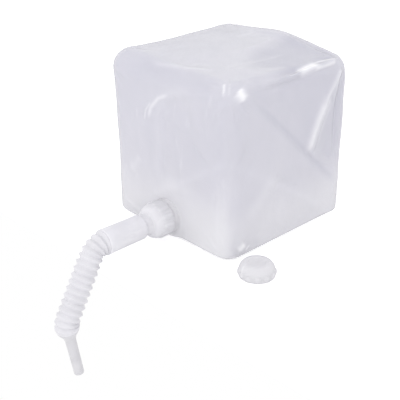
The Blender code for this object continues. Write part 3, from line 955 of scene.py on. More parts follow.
# A crease's fifth number is its strain whitening, often a painted highlight; its painted shade is its last
# number or given by keyword.
FRONT_CREASES = (
    Crease(front((-22, 85), (-19, 122), (-14, 150), (-16, 182), (-6, 206), (14, 222), (50, 233)),
           STEP, 2.6, 12.5, 0.08, 100, (0.8, 0.0, -0.6), (0.12, 0.12), painted_shade=0.15),
    Crease(front((-36, 168), (-29, 190), (-14, 207), (10, 219)), RIDGE, 1.3, 5.2, 0.42),
    Crease(front((-43, 166), (-39, 184), (-28, 199)), RIDGE, 0.8, 2.8, 0.34),
    Crease(front((-82, 78), (-66, 94), (-54, 111)), RIDGE, 0.7, 11.0, 0.16),
    Crease(front((-98, 30), (-73, 23), (-50, 20)), RIDGE, 0.7, 4.0, 0.20),
    Crease(front((-104, 16), (-82, 12), (-58, 12)), VALLEY, 0.7, 3.4, 0.10),
)
# Painted highlight on the long bright fold; painted shade past the diagonal fold and in the valleys.
SIDE_CREASES = (
    Crease(side((-100, 246), (-36, 184), (19, 129), (98, 53)),
           FACET, 8.0, 6.0, 0.0, 150, (0.0, 0.7, 0.7), (0.10, 0.10), 0.70, 0.26),
    Crease(side((-96, 244), (-18, 172), (26, 130), (100, 58)),
           VALLEY, 0.9, 6.5, ends=(0.30, 0.08), painted_shade=0.58),
    Crease(side((102, 230), (85, 201), (69, 178)), RIDGE, 1.8, 6.8, 0.42, ends=(0.08, 0.2)),
    Crease(side((84, 200), (69, 176), (49, 149), (31, 121)), RIDGE, 3.4, 12.5, 0.60, ends=(0.30, 0.16)),
    Crease(side((106, 222), (76, 169), (42, 114)),
           FACET, 4.5, 6.0, 0.0, 80, (0.0, 0.86, -0.5), (0.10, 0.10), 0.70, 0.42),
    Crease(side((-90, 56), (-55, 88), (-26, 112)), RIDGE, 1.0, 20.0, 0.14),
    Crease(side((-40, 104), (-8, 92), (22, 68)), VALLEY, 1.2, 16.0, painted_shade=0.02),
    Crease(side((-108, 150), (-96, 142), (-78, 128)), VALLEY, 1.0, 19.0, painted_shade=0.10),
    # Painted highlights at the near bottom corner.
    Crease(((119, -102, 18), (120, -96, 21), (120, -87, 26)),
           RIDGE, 1.2, 8.4, 1.0, ends=(0.3, 0.3), **OVER_EDGE),
    Crease(side((-88, 14), (-78, 20)), RIDGE, 0.6, 2.6, 0.6, **OVER_EDGE),
)
# Painted highlights: two streaks and an oval at the near top corner and the forked streak on the right edge;
# painted shade on the facet.
TOP_CREASES = (
    Crease(((0, 120, 250), (13, 18, 250), (66, -66, 250)),
           FACET, 6.0, 14.0, 0.0, 150, (0.9, 0.45, 0.0), (0.08, 0.30), 0.70, 0.92),
    Crease(((-49, -108, 249), (-26, -107, 249), (14, -98, 250), (48, -78, 250)), RIDGE, 1.0, 7.5, 0.22),
    Crease(((90, -101, 250), (98, -110, 245), (103, -115, 236)), RIDGE, 0.6, 2.3, 0.85, **OVER_EDGE),
    Crease(((95, -96, 250), (104, -107, 245), (108, -112, 238)), RIDGE, 0.5, 1.6, 0.50, **OVER_EDGE),
    Crease(((109, -99, 243), (114, -96, 238), (118, -94, 231)),
           RIDGE, 0.8, 12.8, 1.0, ends=(0.2, 0.2), **OVER_EDGE),
    Crease(((112, 18, 243), (109, 40, 245), (109, 68, 245)),
           RIDGE, 2.0, 11.8, 1.0, ends=(0.22, 0.35), **OVER_EDGE),
    Crease(((107, 44, 245), (105, 68, 246), (111, 98, 244)),
           RIDGE, 1.2, 3.6, 1.0, ends=(0.20, 0.12), **OVER_EDGE),
    Crease(((115, 44, 241), (116, 68, 240), (115, 94, 241)),
           RIDGE, 0.8, 3.0, 0.8, ends=(0.25, 0.12), **OVER_EDGE),
)
# Painted shade in the valleys along the top edges.
EDGE_CREASES = (
    Crease(((-94, -114, 243), (0, -114, 243), (88, -114, 243)),
           VALLEY, 0.4, 20.0, ends=(0.35, 0.10), painted_shade=0.36, **OVER_EDGE),
    Crease(((-112, 113, 243), (0, 113, 243), (112, 113, 243)),
           RIDGE, 12.0, 20.0, ends=(0.5, 0.5), **OVER_EDGE),
    Crease(((113, 113, -40), (113, 113, 280)), RIDGE, 4.2, 30.0, ends=(0.05, 0.25), **OVER_EDGE),
    Crease(((113, -92, 243), (113, -10, 243), (113, 74, 243)),
           VALLEY, 6.6, 26.0, ends=(0.50, 0.50), painted_shade=0.30, **OVER_EDGE),
)
# Painted shade on the facets of the back and left walls.
HIDDEN_CREASES = (
    Crease(back((-95, 235), (-20, 160), (70, 78)),
           FACET, 6.0, 6.0, 0.05, 110, (0.7, 0.0, 0.7), (0.15, 0.15), 0.70, 0.25),
    Crease(back((-90, 230), (-20, 160), (70, 78)), VALLEY, 1.8, 5.0, ends=(0.15, 0.15)),
    Crease(left((90, 230), (10, 150), (-60, 70)),
           FACET, 5.0, 6.0, 0.05, 100, (0.0, -0.7, 0.7), (0.15, 0.15), 0.70, 0.25),
    Crease(left((86, 226), (10, 150), (-60, 70)), VALLEY, 1.6, 5.0, ends=(0.15, 0.15)),
)
DENTS = (
    Dent((130, 130, 258), 34.0, 4.0),
    Dent((-120, -120, 250), 75.0, -5.0),
    Dent((120, -90, 140), 34.0, 2.4),
    Dent((120, -14, 78), 26.0, 1.8),
    Dent((60, -120, 120), 60.0, -1.6),
    Dent((-60, 40, 250), 60.0, -1.2),
)


@dataclass
class FilmBag:
    """The folding bag: one film in the shape of a rounded cube, creased, and flat round the neck."""

    # Per-point attributes: strain whitening with painted highlights, film thickness, and painted shade.
    STRAIN_AND_HIGHLIGHT = "strain_and_highlight"
    THICK = "thick"
    PAINTED_SHADE = "painted_shade"
    PLEATS = ((9.0, 1.0, 1.0), (17.0, 0.6, 2.0))  # waves round the corner, strength, shift
    SLOW_SCALE = 17.0
    QUICK_SCALE, QUICK_PLACE = Vector((48.0, 48.0, 30.0)), Vector((5.0, 0.0, 3.0))
    EDGE_GAIN, PANEL_THICK = 2.2, 0.35

    width: float = 0.240
    height: float = 0.250
    side_radius: float = 0.026
    top_radius: float = 0.024
    base_radius: float = 0.0125
    crown: float = 0.0022
    crown_spread: float = 0.96
    spacing: float = 0.00195
    pleat_distance: float = 0.038
    pleat_spread: float = 0.014
    top_pleat: float = 0.00045
    base_pleat: float = 0.00018
    slow_ripple: float = 0.0011
    quick_ripple: float = 0.00028
    calm_base: float = 0.02
    neck_height: float = 0.036
    neck_hole: float = 0.0213
    flat_radius: float = 0.0315
    flat_fade: float = 0.0075
    flat_facing: tuple[float, float] = (0.05, 0.45)
    weld_radius: float = 0.0277
    weld_rise: float = 0.0014
    weld_reach: float = 0.0042
    weld_fade: float = 0.0058
    fold_low: float = 0.068
    fold_high: float = 0.224
    lift: float = 0.0003
    creases: tuple[Crease, ...] = FRONT_CREASES + SIDE_CREASES + TOP_CREASES + EDGE_CREASES + HIDDEN_CREASES
    dents: tuple[Dent, ...] = DENTS

    def spread(self, low: float, high: float, low_radius: float, high_radius: float) -> np.ndarray:
        """Places lattice lines along one side of the cube, even along its rounded surface.

        Args:
            low: where the side starts.
            high: where it ends.
            low_radius: the rounding at its start.
            high_radius: the rounding at its end.

        Returns:
            The lines' places.
        """
        flat = high - low - low_radius - high_radius
        middle = np.linspace(low + low_radius, high - high_radius, round(flat / self.spacing) + 1)
        steps = max(4, round(low_radius * math.pi / 4 / self.spacing))
        angles = np.linspace(math.pi / 4, 0.0, steps, endpoint=False)
        start = low + low_radius * (1.0 - np.tan(angles))
        end = high - high_radius * (1.0 - np.tan(angles[::-1]))
        return np.concatenate([start, middle, end])

    def lattice(self) -> tuple[np.ndarray, np.ndarray]:
        """Covers the cube with a lattice.

        Returns:
            The lattice's points on the cube, and its faces, outwards.
        """
        half = self.width / 2
        across = self.spread(-half, half, self.side_radius, self.side_radius)
        lines = (across, across, self.spread(0.0, self.height, self.base_radius, self.top_radius))
        counts = [len(line) for line in lines]
        faces = []
        for fixed in range(3):
            u, v = (fixed + 1) % 3, (fixed + 2) % 3
            grid = np.argwhere(np.ones((counts[u] - 1, counts[v] - 1)))
            for end in (0, counts[fixed] - 1):
                ring = ((0, 0), (1, 0), (1, 1), (0, 1)) if end else ((0, 0), (0, 1), (1, 1), (1, 0))
                corners = np.full((len(grid), 4, 3), end)
                for i, step in enumerate(ring):
                    corners[:, i, u], corners[:, i, v] = (grid + step).T
                faces.append((corners[..., 0] * counts[1] + corners[..., 1]) * counts[2] + corners[..., 2])
        numbers, used = np.unique(np.concatenate(faces), return_inverse=True)
        places = np.unravel_index(numbers, counts)
        return np.stack([line[place] for line, place in zip(lines, places)], -1), used.reshape(-1, 4)

    def rounded(self, cube: np.ndarray) -> tuple[np.ndarray, np.ndarray]:
        """Rounds the cube's edges and corners.

        Args:
            cube: points on the cube.

        Returns:
            The points on the rounded form, and its outward directions there.
        """
        inset = self.width / 2 - self.side_radius
        low = np.array([-inset, -inset, self.base_radius])
        high = np.array([inset, inset, self.height - self.top_radius])
        around = (self.side_radius, self.side_radius)
        core = np.clip(cube, low, high)
        radii = np.where(cube < low, (*around, self.base_radius), (*around, self.top_radius))
        out = (cube - core) / radii
        out /= np.linalg.norm(out, axis=1, keepdims=True)
        normal = out / radii
        normal /= np.linalg.norm(normal, axis=1, keepdims=True)
        return core + out * radii, normal

    def crowning(self, points: np.ndarray, normal: np.ndarray) -> np.ndarray:
        """Swells each panel but the base, as the air inside pushes it out.

        Args:
            points: the film's points.
            normal: the outward directions there.

        Returns:
            How far each point moves outwards.
        """
        turn = math.pi * self.crown_spread
        x, y = (np.cos(turn * points[:, i] / self.width) for i in (0, 1))
        z = np.cos(turn * (points[:, 2] / self.height - 0.5))
        up = np.maximum(normal[:, 2], 0.0)
        return self.crown * (normal[:, 0] ** 2 * y * z + normal[:, 1] ** 2 * x * z + up**2 * x * y)

    def puckers(self, points: np.ndarray) -> np.ndarray:
        """Draws the small pleats that gather round each corner.

        Args:
            points: the film's points.

        Returns:
            How far each point moves outwards.
        """
        move = np.zeros(len(points))
        for number, sides in enumerate((x, y, z) for x in (-1, 1) for y in (-1, 1) for z in (0, 1)):
            corner = np.array(sides) * (self.width / 2, self.width / 2, self.height)
            out = np.array([sides[0], sides[1], 2 * sides[2] - 1]) / math.sqrt(3.0)
            aside = np.cross(out, (0.0, 0.0, 1.0))
            aside /= np.linalg.norm(aside)
            gap = points - corner
            angle = np.arctan2(gap @ np.cross(out, aside), gap @ aside)
            window = bell(np.linalg.norm(gap, axis=1) - self.pleat_distance, self.pleat_spread)
            wave = sum(share * np.sin(angle * waves + shift * number) for waves, share, shift in self.PLEATS)
            move += (self.top_pleat if sides[2] else self.base_pleat) * window * wave
        return move

    def ripples(self, points: np.ndarray) -> np.ndarray:
        """Draws the film's own slow and quick unevenness.

        Args:
            points: the film's points.

        Returns:
            How far each point moves outwards.
        """
        move = np.empty(len(points))
        for i, place in enumerate(points):
            slow = noise.noise(Vector(place) * self.SLOW_SCALE)
            quick = noise.noise(Vector(place) * self.QUICK_SCALE + self.QUICK_PLACE)
            move[i] = self.slow_ripple * slow + self.quick_ripple * quick
        return move

    def build(self, shop: Workshop) -> list[Piece]:
        """Builds the film.

        Args:
            shop: the shared materials and trees.

        Returns:
            The one piece that stands for the bag's three solids.
        """
        cube, faces = self.lattice()
        points, normal = self.rounded(cube)
        move = self.crowning(points, normal) + self.puckers(points) + self.ripples(points)
        strain_and_highlight, painted_shade = np.zeros(len(points)), np.zeros(len(points))
        # Each crease adds its move, its strain whitening and painted highlight, and its painted shade.
        for crease in self.creases:
            pressed, glow, dark = crease.press(points, normal)
            move += pressed
            strain_and_highlight, painted_shade = np.maximum(strain_and_highlight, glow), np.maximum(painted_shade, dark)
        for dent in self.dents:
            move += dent.press(points)
        above = smooth_step(points[:, 2] / self.calm_base)
        placed = points + normal * (move * np.where(normal[:, 2] < -0.5, above, 1.0))[:, None]
        placed = self.flattened(placed, normal)
        placed[:, 2] = np.maximum(placed[:, 2], self.lift)
        mesh = bpy.data.meshes.new("film_bag")
        mesh.from_pydata(placed.tolist(), [], faces.tolist())
        mesh.update()
        thick = (1.0 - np.max(np.abs(normal), axis=1)) * self.EDGE_GAIN + self.PANEL_THICK
        for name, values in ((self.STRAIN_AND_HIGHLIGHT, strain_and_highlight), (self.PAINTED_SHADE, painted_shade), (self.THICK, thick)):
            note(mesh, name, np.clip(values, 0.0, 1.0))
        mesh.materials.append(shop.film)
        self.cut_neck(mesh)
        mesh.shade_smooth()
        film = new_piece("film_bag", mesh)
        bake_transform(film)
        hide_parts("bag_lower_shell", "bag_folding_walls", "bag_top_panel")
        return [film]

    def flattened(self, points: np.ndarray, normal: np.ndarray) -> np.ndarray:
        """Draws the film flat round the neck, down over the lower edge, and up over the welded flange.

        Args:
            points: the film's points.
            normal: the outward directions.

        Returns:
            The points, moved.
        """
        face = -self.width / 2
        far = np.hypot(points[:, 0], points[:, 2] - self.neck_height)
        pull = 1.0 - smooth_step((far - self.flat_radius) / self.flat_fade)
        least, most = self.flat_facing
        pull *= smooth_step((-normal[:, 1] - least) / (most - least))
        rise = self.weld_rise * (1.0 - smooth_step((far - self.weld_radius) / self.weld_fade))
        bulge = np.clip(face - points[:, 1], rise, self.weld_reach)
        moved = points.copy()
        moved[:, 1] += pull * (face - bulge - points[:, 1])
        return moved

    def cut_neck(self, mesh: bpy.types.Mesh) -> None:
        """Opens the film where the neck's spigot passes through it.

        Args:
            mesh: the film's mesh.
        """
        shape = bmesh.new()
        shape.from_mesh(mesh)
        front_verts = [v for v in shape.verts if v.co.y < -0.1]
        inside = [v for v in front_verts if math.hypot(v.co.x, v.co.z - self.neck_height) < self.neck_hole]
        bmesh.ops.delete(shape, geom=inside, context="VERTS")
        for vert in (vert for edge in shape.edges if edge.is_boundary for vert in edge.verts):
            gap = Vector((vert.co.x, 0.0, vert.co.z - self.neck_height))
            vert.co += gap * (self.neck_hole / gap.length - 1.0)
        shape.to_mesh(mesh)
        shape.free()


@dataclass
class ScrewShell:
    """What the spout's collar and the closing cap share: the skirt, its grips and its thread."""

    skirt_radius: float = 0.0248
    bore_radius: float = 0.0222
    grip_count: int = 12
    grip_radius: float = 0.0062
    grip_proud: float = 0.0014
    pitch: float = 0.0042
    turns: float = 1.6
    thread_radius: float = 0.0009
    thread_sunk: float = 0.0001

    def dress(
        self, cap: Piece, shop: Workshop, finish: Finish, start: float, length: float, thread: float
    ) -> None:
        """Adds the grips and the inside thread to a cap built about Z.

        Args:
            cap: the cap.
            shop: the shared materials and trees.
            finish: the cap's material.
            start: where the grips start.
            length: how long they are.
            thread: where the thread starts.
        """
        ring = self.skirt_radius + self.grip_proud - self.grip_radius
        grips = {"count": self.grip_count, "ring_radius": ring, "grip_radius": self.grip_radius}
        shop.grips.apply(cap, **grips, start=start, length=length, finish=finish)
        radius = self.bore_radius + self.thread_sunk
        turns = {"radius": radius, "thickness": self.thread_radius, "pitch": self.pitch}
        shop.thread.apply(cap, **turns, turns=self.turns, start=thread, finish=finish)


@dataclass
class Neck:
    """The neck welded in the bag's front, and the packing ring on its mouth."""

    face: float = -0.120
    height: float = 0.036
    radius: float = 0.0208
    bore: float = 0.0172
    length: float = 0.0230
    flange_radius: float = 0.0275
    flange_top: float = 0.0011
    flange_base: float = 0.0003
    foot: float = 0.0077
    foot_radius: float = 0.0240
    spigot: float = 0.0190
    inner_end: float = -0.0058
    thread_start: float = 0.0108
    thread_radius: float = 0.0009
    thread_sunk: float = 0.0001
    pitch: float = 0.0042
    turns: float = 2.2
    packing_start: float = 0.0233
    packing_thickness: float = 0.0020
    packing_radius: float = 0.0205
    packing_bore: float = 0.0125
    packing_groove: float = 0.0003

    def axis(self) -> Axis:
        """Returns the neck's axis, with runs measured out from the bag's face."""
        return Axis(Vector((0.0, self.face, self.height)), Vector((0.0, -1.0, 0.0)))

    def build(self, shop: Workshop) -> list[Piece]:
        """Builds the neck and the packing ring.

        Args:
            shop: the shared materials and trees.

        Returns:
            The two pieces.
        """
        top, base = self.flange_top, self.flange_base
        outline = Outline().to(
            (self.bore, self.length, 0.0008), (self.radius, self.length, 0.0007),
            (self.radius, self.foot, 0.0003), (self.foot_radius, self.foot, 0.0008),
            (self.foot_radius + 0.0012, top, 0.0016),
            (self.flange_radius - 0.0006, top - 0.0004, 0.0004), (self.flange_radius, base, 0.0003),
            (self.spigot, base), (self.spigot, self.inner_end, 0.0004), (self.bore, self.inner_end, 0.0004),
        )
        fitting = turned("neck_moulding", outline)
        turns = {"thickness": self.thread_radius, "pitch": self.pitch, "turns": self.turns}
        radius = self.radius - self.thread_sunk
        shop.thread.apply(fitting, **turns, radius=radius, start=self.thread_start, finish=shop.cap)
        low, high = self.packing_start, self.packing_start + self.packing_thickness
        groove = high - self.packing_groove
        ring = Outline().to(
            (self.packing_bore, low, 0.0004), (self.packing_radius, low, 0.0004),
            (self.packing_radius, high, 0.0004), (0.0185, high, 0.0002), (0.0181, groove, 0.0002),
            (0.0150, groove, 0.0002), (0.0146, high, 0.0002), (self.packing_bore, high, 0.0004),
        )
        packing = turned("packing_ring", ring, shop.seal)
        return [
            settle(fitting, self.axis(), Body.BAG, Slot.SPOUT, "neck_fitting"),
            settle(packing, self.axis(), Body.PACKING, Slot.SEAL, "neck_gasket"),
        ]


@dataclass
class Collar:
    """The collar that screws the spout on: gripped skirt, dome and snout."""

    neck: Neck
    shell: ScrewShell = field(default_factory=ScrewShell)
    start: float = 0.0082
    skirt: float = 0.0168
    dome: float = 0.0145
    snout_radius: float = 0.0158
    snout_end_radius: float = 0.0146
    snout: float = 0.0070
    nose: float = 0.0037
    stem: float = 0.0109
    ceiling: float = 0.0279
    ceiling_radius: float = 0.0160
    dome_inside: float = 0.0115
    nose_inside: float = 0.0445
    inner_radius: float = 0.0128

    def build(self, shop: Workshop) -> list[Piece]:
        """Builds the collar.

        Args:
            shop: the shared materials and trees.

        Returns:
            The one piece.
        """
        shell, shoulder = self.shell, self.start + self.skirt
        snout_start = shoulder + self.dome
        snout_end = snout_start + self.snout
        end = snout_end + self.nose
        outline = Outline().to(
            (shell.bore_radius, self.start, 0.0006), (shell.skirt_radius, self.start, 0.0009),
            (shell.skirt_radius, shoulder - 0.0006, 0.0005),
        )
        drop = shell.skirt_radius - self.snout_radius
        outline.curve((self.snout_radius, shoulder), (drop, self.dome), 2.0, 86.0).to(
            (self.snout_radius - 0.0004, snout_start + 0.0006, 0.0020),
            (self.snout_end_radius, snout_end, 0.0030),
            (self.snout_end_radius - 0.0002, end, 0.0007), (self.stem, end, 0.0005),
            (self.stem, self.nose_inside, 0.0005), (self.inner_radius, self.nose_inside, 0.0008),
            (self.inner_radius + 0.0004, shoulder + self.dome_inside, 0.0010),
            (self.ceiling_radius, self.ceiling, 0.0008), (shell.bore_radius, self.ceiling, 0.0006),
        )
        collar = turned("collar_moulding", outline, steps=120)
        shell.dress(collar, shop, shop.collar, self.start + 0.0007, self.skirt + 0.0030, self.start + 0.0032)
        return [settle(collar, self.neck.axis(), Body.COLLAR, Slot.SPOUT, "spout_collar")]


@dataclass
class Sleeve:
    """The spout's sleeve: flange under the collar, stem through it, barrel in front."""

    neck: Neck
    flange_start: float = 0.0256
    flange_thickness: float = 0.0020
    flange_radius: float = 0.0205
    stem: float = 0.0106
    stem_bore: float = 0.0084
    start: float = 0.0505
    shoulder: float = 0.0080
    rounding: float = 0.0034
    start_radius: float = 0.0174
    end_radius: float = 0.0185
    lip: float = 0.0040
    length: float = 0.0658
    inside: float = 0.0167
    floor: float = 0.0024

    def build(self, shop: Workshop) -> list[Piece]:
        """Builds the sleeve.

        Args:
            shop: the shared materials and trees.

        Returns:
            The one piece.
        """
        end, flange_end = self.start + self.length, self.flange_start + self.flange_thickness
        floor, lip_radius = self.start + self.floor, self.end_radius + 0.0001
        outline = Outline().to(
            (self.stem_bore, self.flange_start, 0.0004), (self.flange_radius, self.flange_start, 0.0005),
            (self.flange_radius, flange_end, 0.0005), (self.stem, flange_end, 0.0005),
            (self.stem, self.start, 0.0009),
        )
        centre = (self.start_radius - self.rounding, self.start + self.rounding)
        outline.curve(centre, (self.rounding, self.rounding), -90.0, 0.0).to(
            (self.end_radius - 0.0003, end - self.lip - 0.0005, 0.0010),
            (lip_radius, end - self.lip, 0.0006), (lip_radius, end, 0.0010), (self.inside, end, 0.0005),
            (self.inside, floor + self.shoulder, 0.0030), (self.inside - 0.002, floor, 0.0030),
            (self.stem_bore, floor, 0.0005),
        )
        sleeve = turned("sleeve_moulding", outline, shop.spout)
        return [settle(sleeve, self.neck.axis(), Body.SLEEVE, Slot.SPOUT, "spout_sleeve")]


@dataclass
class Bellows:
    """The ribbed, bendable tube, bent twice in the plane x = 0, in three stretches."""

    face: float = -0.120
    height: float = 0.036
    begin: float = 0.1166
    cuff: float = 0.0340
    cuff_shown: float = 0.0045
    crest: float = 0.0172
    crest_place: float = 0.46
    root: float = 0.0137
    cuff_radius: float = 0.0168
    first_radius: float = 0.0240
    first_bend: float = math.radians(60.5)
    middle_run: float = 0.0894
    second_radius: float = 0.0220
    second_bend: float = math.radians(39.0)
    end_run: float = 0.0108
    end_cone: float = 0.0090
    end_plain: float = 0.78
    end_fade: float = 0.0062
    neutral_share: float = 0.6
    ribs: tuple[int, int, int] = (6, 4, 5)
    step: float = 0.00042

    def stretches(self) -> tuple[tuple[float, float], ...]:
        """Returns (length, bend) of each part of the centreline."""
        first = (self.first_radius * self.first_bend, self.first_bend)
        return first, (self.middle_run, 0.0), (self.second_radius * self.second_bend, self.second_bend)

    def length(self) -> float:
        """Returns the centreline's length past the sleeve."""
        return sum(length for length, _ in self.stretches()) + self.end_run

    def last(self) -> float:
        """Returns where the last rib ends and the tip's cone begins."""
        return self.length() - self.end_cone

    def walked(self, distance: float) -> list[Point]:
        """Walks along the centreline.

        Args:
            distance: how far past the sleeve's end; below zero it is inside the sleeve.

        Returns:
            (length, bend, way gone) of each part, and last of the straight line that carries on.
        """
        parts, left = [], distance
        for length, bend in self.stretches():
            step = min(max(left, 0.0), length)
            parts.append((length, bend, step))
            left -= step
        return [*parts, (1.0, 0.0, left)]

    def point(self, distance: float) -> tuple[Vector, Vector]:
        """Follows the centreline.

        Args:
            distance: how far past the sleeve's end.

        Returns:
            The place and the heading there, in the model's frame.
        """
        run, drop, heading = self.begin, 0.0, 0.0
        for length, bend, step in self.walked(distance):
            if bend:
                radius, after = length / bend, heading + bend * step / length
                run += radius * (math.sin(after) - math.sin(heading))
                drop += radius * (math.cos(heading) - math.cos(after))
                heading = after
            else:
                run += step * math.cos(heading)
                drop += step * math.sin(heading)
        place = Vector((0.0, self.face - run, self.height - drop))
        return place, Vector((0.0, -math.cos(heading), -math.sin(heading)))

    def neutral(self, distance: float) -> float:
        """Measures the line on which the ribs keep their pitch.

        Args:
            distance: a place on the centreline.

        Returns:
            The line's length up to there.
        """
        offset = self.neutral_share * self.crest
        return sum(step * (1.0 + offset * bend / length) for length, bend, step in self.walked(distance))

    def rib_at(self, distance: float) -> float:
        """Returns how many ribs lie behind a place; halves are the crests."""
        pitch = (self.neutral(self.last()) - self.cuff_shown) / sum(self.ribs)
        return (self.neutral(distance) - self.cuff_shown) / pitch

    def place_of(self, rib: float) -> float:
        """Finds where this many ribs lie behind.

        Args:
            rib: the count of ribs.

        Returns:
            The centreline distance.
        """
        low, high = 0.0, self.length()
        for _ in range(50):
            middle = (low + high) / 2
            low, high = (middle, high) if self.rib_at(middle) < rib else (low, middle)
        return (low + high) / 2

    def zone(self, start: float, end: float, first_radius: float, last_radius: float) -> list[Vector]:
        """Finds where a stretch may bend, so that its two end rings stay with their bodies.

        Args:
            start: the centreline distance of its first ring that may not move.
            end: the distance of its last ring.
            first_radius: the first ring's radius.
            last_radius: the last ring's radius.

        Returns:
            The two points that the bend runs between.
        """
        (low, low_heading), (high, high_heading) = self.point(start), self.point(end)
        along = (high - low).normalized()
        ends = []
        for place, heading, reach in ((low, low_heading, first_radius), (high, high_heading, -last_radius)):
            aside = Vector((0.0, -heading.z, heading.y))
            ends.append(low + along * ((place - low).dot(along) + abs(aside.dot(along)) * reach))
        return ends

    def stretch(self, name: str, start: float, end: float, shop: Workshop) -> Piece:
        """Builds one stretch of the tube.

        Args:
            name: its name.
            start: where it starts, as a centreline distance.
            end: where it ends.
            shop: the shared materials and trees.

        Returns:
            The piece, on no body.
        """
        count = round((end - start) / self.step)
        places = [start + (end - start) * i / count for i in range(count + 1)]
        mesh = bpy.data.meshes.new(name)
        mesh.from_pydata([self.point(d)[0] for d in places], [(i, i + 1) for i in range(count)], [])
        plain = 1.0 - smooth_step(np.array(places) / self.cuff_shown)
        plain += self.end_plain * (1.0 - smooth_step((self.last() - np.array(places)) / self.end_fade))
        note(mesh, RibbedTube.RIB, np.array([self.rib_at(d) for d in places]))
        note(mesh, RibbedTube.PLAIN, plain)
        tube = new_piece(name, mesh)
        radii = {"crest_radius": self.crest, "root_radius": self.root, "cuff_radius": self.cuff_radius}
        shop.ribs.apply(tube, **radii, crest_place=self.crest_place, finish=shop.bellows)
        shape = bmesh.new()
        shape.from_mesh(tube.data)
        outward(shape, tube.data)
        shade(tube, 60.0)
        return tube

    def build(self, shop: Workshop) -> list[Piece]:
        """Builds the three stretches.

        Args:
            shop: the shared materials and trees.

        Returns:
            The pieces.
        """
        first, second = self.place_of(self.ribs[0]), self.place_of(self.ribs[0] + self.ribs[1])
        plans = (
            ("upper", -self.cuff, first, 0.0, (self.crest, self.root), Body.SLEEVE, Body.SPOUT_MIDDLE),
            ("middle", first, second, first, (self.root, self.root), Body.SPOUT_MIDDLE, Body.SPOUT_LOWER),
            ("lower", second, self.last(), second, (self.root, self.crest), Body.SPOUT_LOWER, Body.TIP),
        )
        pieces = []
        for label, start, end, still, radii, before, after in plans:
            tube = self.stretch(f"bellows_{label}_ribs", start, end, shop)
            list(self.zone(still, end, *radii))
            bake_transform(tube)
            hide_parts(f"bellows_{label}")
            pieces.append(tube)
        return pieces


@dataclass
class Tip:
    """The pouring tip: a cone over the bellows' end and a thin open tube."""

    bellows: Bellows
    length: float = 0.0705
    radius: float = 0.0076
    end_radius: float = 0.0072
    wall: float = 0.0013
    root_radius: float = 0.0160
    root_wall: float = 0.0034
    root: float = 0.0096
    rim: float = 0.0022
    tube_start: float = 0.0060
    cone_rounding: float = 0.0240
    gap: float = 0.0003

    def build(self, shop: Workshop) -> list[Piece]:
        """Builds the tip.

        Args:
            shop: the shared materials and trees.

        Returns:
            The one piece.
        """
        outline = Outline().to(
            (self.end_radius - self.wall, self.length, 0.0004), (self.end_radius, self.length, 0.0006),
            (self.radius, self.tube_start, self.cone_rounding),
            (self.root_radius - 0.0003, self.rim - self.root, 0.0022),
            (self.root_radius, -self.root, 0.0008), (self.root_radius - self.root_wall, -self.root, 0.0004),
            (self.radius - self.wall, self.tube_start - 0.0010, self.cone_rounding),
        )
        tip = turned("tip_moulding", outline, shop.tip, 72)
        axis = Axis(*self.bellows.point(self.bellows.length() + self.gap))
        return [settle(tip, axis, Body.TIP, Slot.TIP, "spout_tip")]


@dataclass
class ClosingCap:
    """The cap that closes the neck for carrying, standing on its rim beside the bag."""

    shell: ScrewShell = field(default_factory=lambda: ScrewShell(grip_radius=0.0066, grip_proud=0.0018))
    place: Point = (0.1577, -0.1041, 0.0)
    turn: float = math.radians(15.0)
    height: float = 0.0200
    skirt: float = 0.0070
    top_radius: float = 0.0150
    wall: float = 0.0018
    dish: float = 0.0007
    button: float = 0.0005
    ledge: float = 0.0120
    ledge_radius: float = 0.0190
    vault_radius: float = 0.0120
    liner_radius: float = 0.0212
    liner: float = 0.0012
    liner_groove: float = 0.0003

    def build(self, shop: Workshop) -> list[Piece]:
        """Builds the cap and its liner.

        Args:
            shop: the shared materials and trees.

        Returns:
            The two pieces.
        """
        shell, height, skirt, ledge = self.shell, self.height, self.skirt, self.ledge
        button, dish, inside = height - self.button, height - self.dish, height - self.wall
        outline = Outline(closed=False).to(
            (0.0, button), (0.0022, button, 0.0003), (0.0026, dish, 0.0004), (0.0118, dish, 0.0004),
            (0.0124, height, 0.0005),
        )
        spread = (shell.skirt_radius - self.top_radius, height - skirt)
        outline.curve((self.top_radius, skirt), spread, 88.0, 2.0).to(
            (shell.skirt_radius, skirt - 0.0006, 0.0005), (shell.skirt_radius, 0.0, 0.0009),
            (shell.bore_radius, 0.0, 0.0006), (shell.bore_radius, ledge, 0.0005),
            (self.ledge_radius, ledge, 0.0005),
        )
        inner = (self.ledge_radius - self.vault_radius, inside - ledge)
        outline.curve((self.vault_radius, ledge), inner, 5.0, 90.0).to((0.0, inside))
        cap = turned("closing_cap_moulding", outline, steps=120)
        shell.dress(cap, shop, shop.cap, 0.0009, skirt + 0.0020, 0.0018)
        top = ledge - 0.0003
        low, groove = top - self.liner, top - self.liner + self.liner_groove
        ring = Outline(closed=False).to(
            (0.0, top), (self.liner_radius, top, 0.0003), (self.liner_radius, low, 0.0003),
            (0.0200, low, 0.0002), (0.0197, groove, 0.0002), (0.0172, groove, 0.0002),
            (0.0169, low, 0.0002), (0.0, low),
        )
        liner = turned("cap_liner", ring, shop.seal)
        axis = Axis(Vector(self.place), Vector((0.0, 0.0, 1.0)), self.turn)
        return [
            settle(cap, axis, Body.LOOSE_CAP, Slot.CAP, "closing_cap"),
            settle(liner, axis, Body.LOOSE_CAP, Slot.SEAL, "closing_cap_liner"),
        ]


